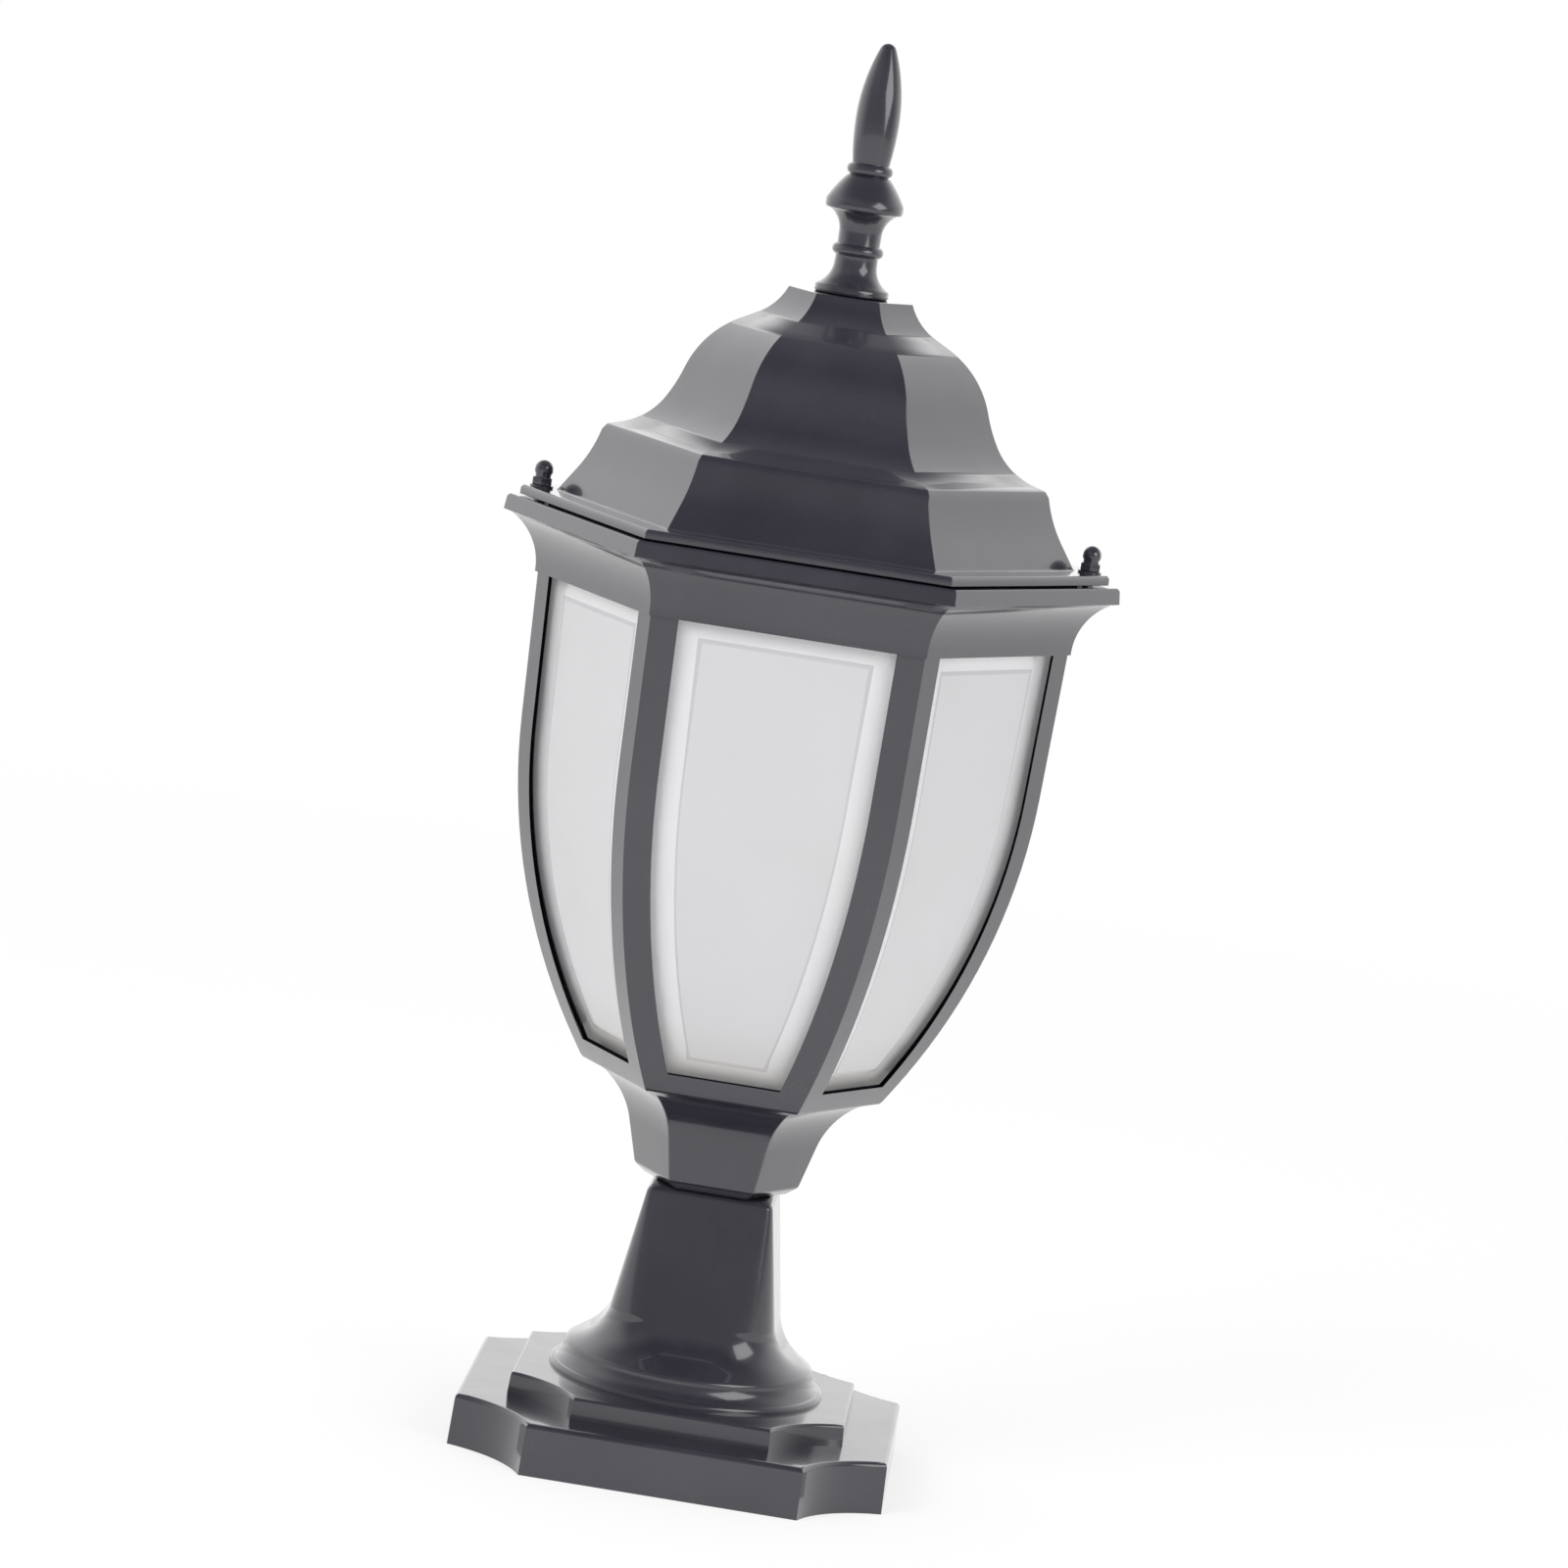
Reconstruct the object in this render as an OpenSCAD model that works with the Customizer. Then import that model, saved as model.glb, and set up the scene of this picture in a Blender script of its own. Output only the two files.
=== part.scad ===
// Outdoor pillar light: a six-sided cast lantern on a scalloped plinth.
// Millimetres, +Z up. The origin is the middle of the face that stands on the pillar.
// The front face looks along -Y, and two of the six corners lie on the X axis.

/* [Plinth] */
// Width of the square plinth
plinth_w = 160; // [145:1:180]
// Height of the plinth
plinth_h = 19; // [17:0.5:26]
// Radius of the hollow cut out of each plinth corner
plinth_scallop_r = 45.5; // [42:0.5:49]
// How far outside its corner each hollow is centred
scallop_out = 14; // [12:0.5:16]
// Wall of the hollow casting
plinth_wall = 4.5; // [3.5:0.1:6]
// How far the plinth side leans in over its height
plinth_draft = 0.5; // [0:0.1:2]
// Rounding along the top edges of the plinth
plinth_edge_r = 1.8; // [0.8:0.1:3]
// Width of the square plate on the plinth
plate_w = 124; // [114:1:132]
// Height of that plate
plate_h = 8; // [6:0.5:12]
// Radius of the hollow cut out of each plate corner
plate_scallop_r = 42; // [38:0.5:45]
// How far the plate's side leans in over its height
plate_draft = 0.4; // [0:0.1:1]
// Rounding along the top edges of the plate
plate_edge_r = 1.2; // [0.6:0.1:2]

/* [Foot and neck] */
// Height of the low ring on the plate
ring_h = 2.2; // [1.6:0.1:4]
// How far the ring stands out round the foot
ring_out = 1.9; // [1:0.1:4]
// Radius of the hollow between the ring and the flare's rim
foot_cove_r = 8; // [6:0.5:10]
// Lean of that hollow at the ring, in degrees
foot_cove_lean = 50; // [30:1:55]
// Rounding of the flare's rim
flare_edge_r = 2; // [1:0.1:3]
// Width across the flats of the neck below its shoulder
neck_top_w = 46.8; // [45:0.2:50]
// Rounding of the neck's shoulder
shoulder_r = 3; // [1.5:0.1:4]
// How far the neck's faces lean out, in degrees
neck_lean = 9.2; // [8:0.1:11]
// Length of the neck's straight faces
neck_run = 45.2; // [36:0.2:56]
// Radius of the flare at the foot of the neck
flare_r = 20; // [16:0.5:24]
// Steepest lean of the flare, in degrees
flare_lean = 62; // [58:1:66]
// Length of the flare's straight end
flare_run = 4.8; // [2:0.2:7]
// Corner rounding of the neck at its top
neck_corner_top = 2.8; // [2:0.1:4]
// Corner rounding of the neck where the flare starts
neck_corner_foot = 14; // [9:0.5:16]
// Wall of the foot and neck
neck_wall = 4.5; // [3.5:0.1:6]
// Thickness of the web that closes the neck's top
neck_web = 7; // [5:0.5:12]

/* [Cup] */
// How far the cup's top edge stays inside the cage's foot
cup_step = 3.4; // [2:0.1:5]
// Radius of the cup's hollow side
cup_cove_r = 30; // [26:0.5:32]
// Lean of the cup's top edge, in degrees
cup_top_lean = 68; // [60:1:72]
// Lean of the cup's straight lower side, in degrees
cup_low_lean = 15.5; // [12:0.5:20]
// Length of the straight lower side
cup_low_run = 16.5; // [10:0.5:20]
// Height of the bevel under the cup
cup_bevel = 3.2; // [2:0.1:5]
// Wall of the cup
cup_wall = 3.5; // [2.5:0.1:5]

/* [Cage] */
// Distance from the axis to a corner at the top of the glass
cage_r = 97.9; // [94:0.1:104]
// Lean of the upper straight side, in degrees
cage_lean = 2; // [0.5:0.1:4]
// Length of that straight side
cage_run = 53.5; // [30:0.5:80]
// Radius of the bend below it
cage_bend_r = 226; // [205:1:245]
// Lean at the end of the bend, in degrees
cage_foot_lean = 33; // [30:0.5:35]
// Length of the straight foot below the bend
cage_foot_run = 6.3; // [5:0.1:10]
// Wall of the cage
cage_wall = 3; // [2.4:0.1:4]
// Width of one leaf of a corner rib
rib_w = 10; // [7:0.5:13]
// Height of the bar below each window
bar_h = 7; // [6:0.5:12]
// Thickness of the cage's floor
floor_t = 4; // [3:0.5:6]

/* [Crown] */
// How far the crown's lower edge stands out over the ribs
crown_step = 1.1; // [0.5:0.1:2]
// Height of the plain band above that edge
crown_band = 0.8; // [0.4:0.1:3]
// Radius of the hollow under the rim
cove_r = 22; // [16:0.5:24]
// Lean of that hollow at the rim, in degrees
cove_lean = 61; // [50:1:65]
// How far the rim stands out over the hollow
rim_out = 3.3; // [2:0.1:5]
// Height of the rim
rim_h = 5.8; // [4.5:0.1:8]
// How far the rim's underside drops below the hollow's edge
rim_under = 0.9; // [0.4:0.1:1.6]
// Breadth of the rim's chamfered upper edge
rim_edge = 1; // [0.5:0.1:2]

/* [Roof] */
// Lean of the roof's side at the cap, in degrees
roof_top_lean = 22; // [18:1:28]
// Radius of the hollow below the cap
roof_hollow_r = 22; // [18:0.5:26]
// Lean of the straight shoulder, in degrees
roof_shoulder_lean = 62; // [58:1:64]
// Length of the straight shoulder
roof_shoulder = 6.5; // [4:0.5:8]
// Radius of the round shoulder
roof_shoulder_r = 36; // [33:0.5:39]
// Steepest lean of the long waist, in degrees
roof_waist_lean = 18; // [15:1:21]
// Radius of the long waist
roof_waist_r = 60; // [50:1:75]
// Lean of the waist at its foot, in degrees
roof_waist_foot_lean = 30; // [27:1:34]
// Radius of the sweep out to the step
roof_sweep_r = 26; // [22:0.5:28]
// Lean of the sweep at its end, in degrees
roof_sweep_lean = 74; // [70:1:78]
// Straight run at the sweep's end
roof_sweep_run = 4.4; // [2:0.2:6]
// Height of the nosing at the step
nosing_h = 1.8; // [1.2:0.1:3]
// How far the nosing stands out over the step
nose_out = 1.4; // [0.8:0.1:2.4]
// Lean of the eave below the nosing, in degrees
eave_top_lean = 14; // [10:1:18]
// Radius of the eave's hollow
eave_r = 50; // [44:1:55]
// Lean of the eave at its foot, in degrees
eave_lean = 34; // [30:1:38]
// Straight run at the eave's foot
eave_run = 9.6; // [6:0.2:12]
// Width of the roof's bolting flange, from the eave to its edge, along a corner
flange_w = 13.8; // [12.5:0.1:16]
// How far the flange's edge stays inside the crown's rim
flange_ledge = 5; // [3.5:0.1:7]
// Thickness of that flange
flange_t = 3.5; // [3:0.1:5]
// Wall of the roof
roof_wall = 3; // [2.5:0.1:3.5]
// Thickness of the roof's flat cap
cap_t = 4.5; // [3.5:0.1:6]
// Gap that the gasket keeps between crown and roof
gasket_gap = 0.5; // [0.3:0.1:1]
// Thickness of the gasket
gasket_t = 2; // [1.6:0.1:2.6]
// Width of the gasket
gasket_w = 2.2; // [1.6:0.1:2.8]

/* [Finial] */
// Radius of the finial's foot
finial_foot_r = 13.6; // [11:0.1:15]
// Thickness of that foot
finial_foot_h = 3.2; // [2:0.1:5]
// Radius of the hollow flare on the foot
finial_flare_r = 9.5; // [8:0.1:11]
// Radius of the finial's stem
finial_neck_r = 7.9; // [6.5:0.1:8.4]
// Height of the stem between foot and bell
finial_stem_h = 19.3; // [16:0.1:24]
// Half the thickness of the beads on the stem
bead_r = 2.2; // [1.6:0.1:2.6]
// Radius of the bell's rim
bell_r = 14.3; // [12.5:0.1:15.5]
// Height of the bell
bell_h = 12.4; // [10:0.1:15]
// Widest radius of the bud
bud_r = 8.1; // [7:0.1:9]
// Height of the bud from its bead to its widest place
bud_low_h = 15.6; // [12:0.1:20]
// Rounding of the bud's tip
bud_tip_r = 3.2; // [2:0.1:4.5]
// Lean of the bud's side at the tip, in degrees
bud_tip_lean = 22.3; // [18:0.1:28]
// Diameter of the stud that holds the finial
finial_stud_d = 6; // [5:0.1:8]
// Depth of the stud in the finial
finial_stud_depth = 14; // [10:0.5:18]

/* [Glass] */
// Thickness of a panel
glass_t = 4.5; // [3.5:0.1:5]
// Thickness left at the bevelled edge
glass_edge_t = 2.4; // [1.8:0.1:3]
// Width of the bevel round a panel
bevel_w = 13; // [10:0.5:16]
// How far a panel reaches up behind the crown
glass_tuck = 6.5; // [5:0.5:9]
// Play round a panel
glass_play = 0.3; // [0.2:0.05:0.5]
// Sheet thickness of the clips
clip_t = 0.8; // [0.6:0.1:1.2]
// Width of a clip
clip_w = 14; // [10:0.5:18]

/* [Roof screws] */
// Distance from a corner of the crown's rim to its roof stud
stud_inset = 12.6; // [11.5:0.1:13]
// Diameter of the roof studs
stud_d = 4; // [3:0.1:4]
// Depth of the studs in the crown
stud_depth = 12; // [8:0.5:14]
// Width across the flats of the cap nuts
cap_nut_af = 7; // [6.6:0.1:8]
// Height of the cap nuts
cap_nut_h = 9.2; // [8:0.1:11]
// Diameter of the washers under the cap nuts
washer_d = 8.6; // [8:0.1:9]
// Thickness of those washers
washer_t = 0.8; // [0.6:0.1:1.2]

/* [Tie tube and lampholder] */
// Diameter of the threaded tube through neck, cup and cage floor
tube_d = 10; // [9:0.5:12]
// Bore of the tube
tube_bore_d = 7.6; // [6:0.2:8]
// Width across the flats of the tube's nuts
tube_nut_af = 17; // [16:0.5:19]
// Height of the tube's nuts
tube_nut_h = 5; // [4:0.5:7]
// Diameter of the tube's washers
tube_washer_d = 22; // [20:0.5:26]
// Thickness of the tube's washers
tube_washer_t = 1.5; // [1:0.1:2.5]
// Diameter of the lampholder
holder_d = 40; // [38:0.5:46]
// Height of the lampholder's metal cap
holder_cap_h = 13; // [11:0.5:16]
// Height of the lampholder's ceramic body
holder_h = 42; // [38:0.5:52]
// Bore for the lamp's screw cap
socket_d = 27.9; // [26:0.1:29]
// Depth of that bore
socket_depth = 32; // [28:0.5:34]

/* [Mounting strap] */
// Width of the steel strap
strap_w = 25; // [22:0.5:32]
// Thickness of the strap
strap_t = 2.5; // [2:0.1:3.5]
// Height of the strap's turned-up ends
strap_lug_h = 12.5; // [11.5:0.5:13]
// Distance between the strap's two fixing holes
strap_pitch = 88; // [84:1:96]
// Diameter of those holes
strap_hole_d = 5.5; // [4.5:0.1:7]
// Diameter of the cable hole in the strap
cable_hole_d = 14; // [10:0.5:16]
// Diameter of the side grub screws
grub_d = 5; // [4:0.1:6]
// Height of the grub screws above the pillar
grub_z = 8; // [7:0.1:8.5]

/* [Hidden] */
$fn = 64;

// A hexagon's flats lie this share of its corner radius from the axis
flat = cos(30);
paint = [0.13, 0.13, 0.15];
steel = [0.72, 0.73, 0.75];
brass = [0.80, 0.66, 0.36];
frost = [0.87, 0.88, 0.88, 0.9];
ceramic = [0.93, 0.92, 0.88];

// A moulding is traced downwards as arcs and straight runs that meet smoothly.
// Each move is [new heading, radius] for an arc or [undef, length] for a run.
// A heading is the angle from straight down, and positive leans outwards.
function arc_step(a0, a1, r) = sign(a1 - a0) * r * [cos(a0) - cos(a1), sin(a0) - sin(a1)];
function arc_points(p, a0, a1, r) =
    let (n = max(2, ceil(abs(a1 - a0) * pow(r, 0.35) / 16)))
    [for (i = [1 : n]) p + arc_step(a0, a0 + (a1 - a0) * i / n, r)];
// The optional inset traces the inner side of a wall of that thickness
function trace(p, a, moves, inset = 0, i = 0) =
    i == len(moves) ? [p] :
    let (m = moves[i])
    is_undef(m[0])
        ? concat([p], trace(p + m[1] * [sin(a), -cos(a)], a, moves, inset, i + 1))
        : let (pts = arc_points(p, a, m[0], m[1] + sign(m[0] - a) * inset))
          concat([p], [for (k = [0 : 1 : len(pts) - 2]) pts[k]],
                 trace(pts[len(pts) - 1], m[0], moves, inset, i + 1));
function inset_start(p, a, t) = p - t * [cos(a), sin(a)];
function last(list) = list[len(list) - 1];
function lift(pts, z) = [for (q = pts) [q[0], q[1] + z]];
// Corner radius at a height, read off a traced side
function radius_at(side, z) = lookup(z, [for (q = side) [q[1], q[0]]]);

// Heights, from the pillar upwards
plate_z = plinth_h;
foot_z = plate_z + plate_h;
ring_z = foot_z + ring_h;

neck_moves = [[neck_lean, shoulder_r], [undef, neck_run], [flare_lean, flare_r], [undef, flare_run]];
neck_side = trace([neck_top_w / 2 - shoulder_r, 0], 90, neck_moves);
flare_end_r = last(neck_side)[0];
foot_moves = [[0, flare_edge_r], [foot_cove_lean, foot_cove_r]];
foot_side_top = trace([flare_end_r, 0], flare_lean, foot_moves);
flare_z = ring_z - last(foot_side_top)[1];
ring_r = last(foot_side_top)[0] + ring_out;
neck_z = flare_z - last(neck_side)[1];

cage_moves = [
    [undef, cage_run], [-cage_foot_lean, cage_bend_r], [undef, cage_foot_run]
];
cage_side_top = trace([cage_r, 0], -cage_lean, cage_moves);
cage_foot_r = last(cage_side_top)[0];
foot_edge = 1;

cup_moves = [[-cup_low_lean, cup_cove_r], [undef, cup_low_run]];
cup_top_r = cage_foot_r - cup_step;
cup_side_top = trace([cup_top_r, 0], -cup_top_lean, cup_moves);
cup_h = cup_bevel - last(cup_side_top)[1];
cup_top_z = neck_z + cup_h;
cup_foot_r = last(cup_side_top)[0];
cup_side = lift(cup_side_top, cup_top_z);

cage_z = cup_top_z;
cage_top_z = cage_z + foot_edge - last(cage_side_top)[1];
cage_side = lift(cage_side_top, cage_top_z);
floor_z = cage_z + floor_t;
wall_r = cage_wall / flat;
cage_inner = trace(inset_start([cage_r, cage_top_z], -cage_lean, wall_r), -cage_lean,
                   cage_moves, wall_r);
crown_in_r = cage_inner[0][0];

crown_r = cage_r + crown_step;
cove_in = arc_step(-cove_lean, 0, cove_r);
rim_z = cage_top_z + crown_band - cove_in[1] + rim_under;
crown_z = rim_z + rim_h;
cove_r_top = crown_r - cove_in[0];
rim_r = cove_r_top + rim_out;

roof_z = crown_z + gasket_gap;
flange_z = roof_z + flange_t;
flange_r = rim_r - flange_ledge;
stud_at = rim_r - stud_inset;

// The roof's side is traced down from its cap and then set out from the flange
roof_step = 0.4;
eave_rise = 0.8;
upper_moves = [
    [roof_shoulder_lean, roof_hollow_r], [undef, roof_shoulder], [roof_waist_lean, roof_shoulder_r],
    [roof_waist_foot_lean, roof_waist_r], [roof_sweep_lean, roof_sweep_r], [undef, roof_sweep_run]
];
eave_moves = [[eave_lean, eave_r], [undef, eave_run]];
upper_end = last(trace([0, 0], roof_top_lean, upper_moves));
eave_end = last(trace([0, 0], eave_top_lean, eave_moves));
eave_foot_r = flange_r - flange_w;
eave_top_r = eave_foot_r - eave_end[0];
nose_r = eave_top_r - nose_out;
cap_r = nose_r - roof_step - upper_end[0];
eave_z = flange_z + eave_rise - eave_end[1];
step_z = eave_z + nosing_h;
cap_z = step_z + roof_step - upper_end[1];

// A closed skin over rings of points, listed from the lowest ring upwards
module loft(rings) {
    n = len(rings[0]);
    m = len(rings);
    polyhedron(
        points = [for (ring = rings) each ring],
        faces = concat(
            [[for (i = [0 : n - 1]) i]],
            [[for (i = [n - 1 : -1 : 0]) (m - 1) * n + i]],
            [for (j = [0 : m - 2], i = [0 : n - 1])
                let (k = (i + 1) % n)
                [j * n + i, (j + 1) * n + i, (j + 1) * n + k, j * n + k]]));
}

// Turns a profile of corner radii and heights into a six-sided solid
module six_sided(profile) {
    rotate_extrude($fn = 6)
        polygon(profile);
}

module hexagon(r, h) {
    cylinder(r = r, h = h, $fn = 6);
}

module nut(af, h, bore) {
    difference() {
        hexagon(af / 2 / flat, h);
        translate([0, 0, -1])
            cylinder(d = bore, h = h + 2);
    }
}

module washer(d, t, bore) {
    difference() {
        cylinder(d = d, h = t);
        translate([0, 0, -1])
            cylinder(d = bore, h = t + 2);
    }
}

// Plan of a square with a round hollow in each corner, drawn in by an inset
module scalloped_square(w, r, inset) {
    difference() {
        square(w - 2 * inset, center = true);
        for (x = [-1, 1], y = [-1, 1])
            translate([x, y] * (w / 2 + scallop_out))
                circle(r + inset);
    }
}

// A scalloped block with drafted sides and a rounded top edge
module scalloped_block(w, r, h, draft, edge_r) {
    edge = concat([[0, 0]], [for (a = [0 : 15 : 90])
        [draft + edge_r * (1 - cos(a)), h - edge_r * (1 - sin(a))]]);
    top = last(edge)[0];
    difference() {
        translate([-w / 2, -w / 2, 0])
            cube([w, w, h]);
        for (k = [0 : 3])
            rotate(90 * k) {
                rotate([90, 0, 0])
                    linear_extrude(w + 2, center = true)
                        polygon(concat(
                            [[w / 2, -1]], [for (q = edge) [w / 2 - q[0], q[1]]],
                            [[w / 2 - top, h + 1], [w / 2 + 1, h + 1], [w / 2 + 1, -1]]));
                translate([w / 2 + scallop_out, w / 2 + scallop_out, 0])
                    rotate_extrude()
                        polygon(concat(
                            [[0, -1], [r, -1]], [for (q = edge) [r + q[0], q[1]]],
                            [[r + top, h + 1], [0, h + 1]]));
            }
    }
}

// Outline of a square with rounded corners
function rounded_square(half, r) =
    [for (k = [0 : 3], i = [0 : 6])
        let (a = 90 * k + 15 * i, corner = (half - r) * sqrt(2))
        corner * [cos(90 * k + 45), sin(90 * k + 45)] + r * [cos(a), sin(a)]];

neck_straight_w = neck_top_w / 2 + neck_run * sin(neck_lean);
// The neck is a square with small corners above and almost a circle at its foot
function neck_corner(w) =
    w < neck_straight_w
        ? neck_corner_top + (neck_corner_foot - neck_corner_top)
            * max(0, (w - neck_top_w / 2) / (neck_straight_w - neck_top_w / 2))
        : neck_corner_foot + (w - 0.5 - neck_corner_foot)
            * sqrt((w - neck_straight_w) / (flare_end_r - neck_straight_w));
function neck_ring(w, z) = [for (q = rounded_square(w, neck_corner(w))) [q[0], q[1], z]];

// Play of the tie tube, and how far one solid reaches into another that it is joined to
tube_hole_d = tube_d + 0.4;
join = 1;

module pedestal() {
    ring_edge = 0.8;
    hollow_r = flare_end_r - neck_wall + 1;
    color(paint)
    difference() {
        union() {
            scalloped_block(plinth_w, plinth_scallop_r, plinth_h, plinth_draft, plinth_edge_r);
            translate([0, 0, plate_z - join])
                scalloped_block(plate_w, plate_scallop_r, plate_h + join, plate_draft, plate_edge_r);
            rotate_extrude()
                polygon(concat(
                    [[0, flare_z - join]], lift(foot_side_top, flare_z),
                    [[ring_r - ring_edge, ring_z], [ring_r, ring_z - ring_edge],
                     [ring_r, foot_z - join], [0, foot_z - join]]));
            loft(concat(
                [neck_ring(flare_end_r - 0.3, flare_z - join)],
                [for (i = [len(neck_side) - 1 : -1 : 0])
                    neck_ring(neck_side[i][0], neck_side[i][1] + neck_z)]));
        }
        // Hollow under plinth and plate
        translate([0, 0, -1])
            linear_extrude(plinth_h - plinth_wall + 1)
                scalloped_square(plinth_w, plinth_scallop_r, plinth_wall);
        translate([0, 0, -2])
            linear_extrude(foot_z - plinth_wall + 2)
                scalloped_square(plate_w, plate_scallop_r, plinth_wall);
        // Hollow of foot and neck
        rotate_extrude()
            polygon([
                [0, -3], [hollow_r, -3], [hollow_r, flare_z - neck_wall + 1],
                [neck_straight_w + 1, flare_z + flare_r * 0.2],
                [neck_straight_w - neck_wall, flare_z + flare_r * 0.8],
                [neck_top_w / 2 - neck_wall, neck_z - neck_web], [0, neck_z - neck_web]
            ]);
        translate([0, 0, neck_z - neck_web - 1])
            cylinder(d = tube_hole_d, h = neck_web + 2);
        for (side = [-1, 1])
            translate([side * plinth_w / 2, 0, grub_z])
                rotate([0, 90, 0])
                    cylinder(d = grub_d + 0.4, h = 3 * plinth_wall, center = true);
    }
}

// The strap's ends stand this far inside the plinth's wall
strap_play = 0.3;
strap_half = plinth_w / 2 - plinth_wall - strap_play;
terminal_x = cable_hole_d / 2 + 15;
earth_x = -cable_hole_d / 2 - 11;

module mounting_strap() {
    color(steel)
    difference() {
        translate([0, strap_w / 2, 0])
            rotate([90, 0, 0])
                linear_extrude(strap_w)
                    polygon([
                        [-strap_half, 0], [strap_half, 0], [strap_half, strap_lug_h],
                        [strap_half - strap_t, strap_lug_h], [strap_half - strap_t, strap_t],
                        [-strap_half + strap_t, strap_t], [-strap_half + strap_t, strap_lug_h],
                        [-strap_half, strap_lug_h]
                    ]);
        for (side = [-1, 1]) {
            translate([side * strap_pitch / 2, 0, -1])
                cylinder(d = strap_hole_d, h = strap_t + 2);
            translate([side * strap_half, 0, grub_z])
                rotate([0, 90, 0])
                    cylinder(d = grub_d + 0.4, h = 3 * strap_t, center = true);
        }
        translate([0, 0, -1])
            cylinder(d = cable_hole_d, h = strap_t + 2);
        translate([terminal_x, 0, -1])
            cylinder(d = 3.4, h = strap_t + 2);
        translate([earth_x, 0, -1])
            cylinder(d = 4.2, h = strap_t + 2);
    }
}

// A socket grub screw through the plinth's side into the strap's end
module grub_screw(side) {
    inner = strap_half - strap_t - 1;
    outer = plinth_w / 2 - plinth_draft - 0.6;
    color(steel)
    translate([side * inner, 0, grub_z])
        rotate([0, side * 90, 0])
            difference() {
                cylinder(d = grub_d, h = outer - inner);
                translate([0, 0, outer - inner - 2.5])
                    hexagon(grub_d * 0.29, 3);
            }
}

module terminal_block() {
    block = [20, 17, 11];
    color(ceramic)
    translate([terminal_x, 0, strap_t])
        difference() {
            translate([-block[0] / 2, -block[1] / 2, 0])
                cube(block);
            translate([0, 0, -1])
                cylinder(d = 3.4, h = block[2] + 2);
            translate([0, 0, block[2] - 3])
                cylinder(d = 6.4, h = 4);
            for (x = [-6.6, 6.6], y = [-4.8, 4.8])
                translate([x, y, 4.5])
                    cylinder(d = 3.6, h = block[2]);
        }
}

// Pan-head screw standing on z = 0 with its shank below
module pan_screw(head_d, head_h, shank_d, shank_l) {
    slot_w = head_d * 0.16;
    difference() {
        union() {
            cylinder(d1 = head_d, d2 = head_d * 0.8, h = head_h);
            translate([0, 0, -shank_l])
                cylinder(d = shank_d, h = shank_l + 0.1);
        }
        translate([-head_d, -slot_w / 2, head_h * 0.55])
            cube([2 * head_d, slot_w, head_h]);
    }
}

module terminal_screw() {
    seat = strap_t + 8;
    color(steel)
    translate([terminal_x, 0, seat])
        pan_screw(5.8, 2, 3, seat);
}

module earth_screw() {
    color(brass)
    translate([earth_x, 0, strap_t + 1])
        pan_screw(8, 2.8, 4, strap_t + 1);
}

module earth_washer() {
    color(brass)
    translate([earth_x, 0, strap_t])
        washer(10, 1, 4.4);
}

module gallery_cup() {
    inner = trace(inset_start(cup_side[0], -cup_top_lean, cup_wall / flat),
                  -cup_top_lean, cup_moves, cup_wall / flat);
    cup_floor_z = neck_z + cup_bevel + cup_wall;
    color(paint)
    difference() {
        six_sided(concat([[0, cup_top_z]], cup_side,
                         [[cup_foot_r - cup_bevel * 1.4, neck_z], [0, neck_z]]));
        six_sided(concat([[0, cup_top_z + 1], [inner[0][0], cup_top_z + 1]],
                         [for (q = inner) if (q[1] > cup_floor_z) q],
                         [[radius_at(inner, cup_floor_z), cup_floor_z], [0, cup_floor_z]]));
        translate([0, 0, neck_z - 1])
            cylinder(d = tube_hole_d, h = cup_h);
    }
}

window_z = cage_z + foot_edge + bar_h;
window_levels = 14;
stud_hole_d = stud_d + 0.2;

// One window, as the outline of a face drawn in by the width of a rib leaf
module window() {
    side = [for (i = [0 : window_levels])
        let (z = window_z + (cage_top_z - window_z) * i / window_levels)
        [radius_at(cage_side, z) / 2 - rib_w, z]];
    rotate([90, 0, 90])
        linear_extrude(cage_r * 1.2)
            polygon(concat(side, [for (i = [window_levels : -1 : 0]) [-side[i][0], side[i][1]]]));
}

module lantern_cage() {
    cove = trace([cove_r_top, rim_z - rim_under], -cove_lean, [[0, cove_r]]);
    rim_draft = 0.6;
    color(paint)
    difference() {
        six_sided(concat(
            [[0, crown_z], [rim_r - rim_edge - rim_draft, crown_z],
             [rim_r - rim_draft, crown_z - rim_edge], [rim_r, rim_z]],
            cove, [[crown_r, cage_top_z]], cage_side,
            [[cage_foot_r - foot_edge, cage_z], [0, cage_z]]));
        six_sided(concat(
            [[0, crown_z + 1], [crown_in_r, crown_z + 1]],
            [for (q = cage_inner) if (q[1] > floor_z) q],
            [[radius_at(cage_inner, floor_z), floor_z], [0, floor_z]]));
        for (k = [0 : 5])
            rotate(60 * k + 30)
                window();
        for (side = [-1, 1])
            translate([side * stud_at, 0, crown_z - stud_depth])
                cylinder(d = stud_hole_d, h = stud_depth + 1);
        translate([0, 0, cage_z - 1])
            cylinder(d = tube_hole_d, h = floor_t + 2);
        for (k = [0 : 5])
            rotate(60 * k + 30)
                translate([crown_in_r * flat - 1, 0, clip_screw_z])
                    rotate([0, 90, 0])
                        cylinder(d = clip_screw_d + 0.2, h = clip_screw_l + 2);
    }
}

tube_washer_low_z = neck_z - neck_web - tube_washer_t;
tube_foot_z = tube_washer_low_z - tube_nut_h - 4;
upper_nut_z = floor_z + tube_washer_t;
holder_z = upper_nut_z + tube_nut_h;
tube_top_z = holder_z + holder_cap_h - 3;

module tie_tube() {
    color(brass)
    translate([0, 0, tube_foot_z])
        washer(tube_d, tube_top_z - tube_foot_z, tube_bore_d);
}

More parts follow.
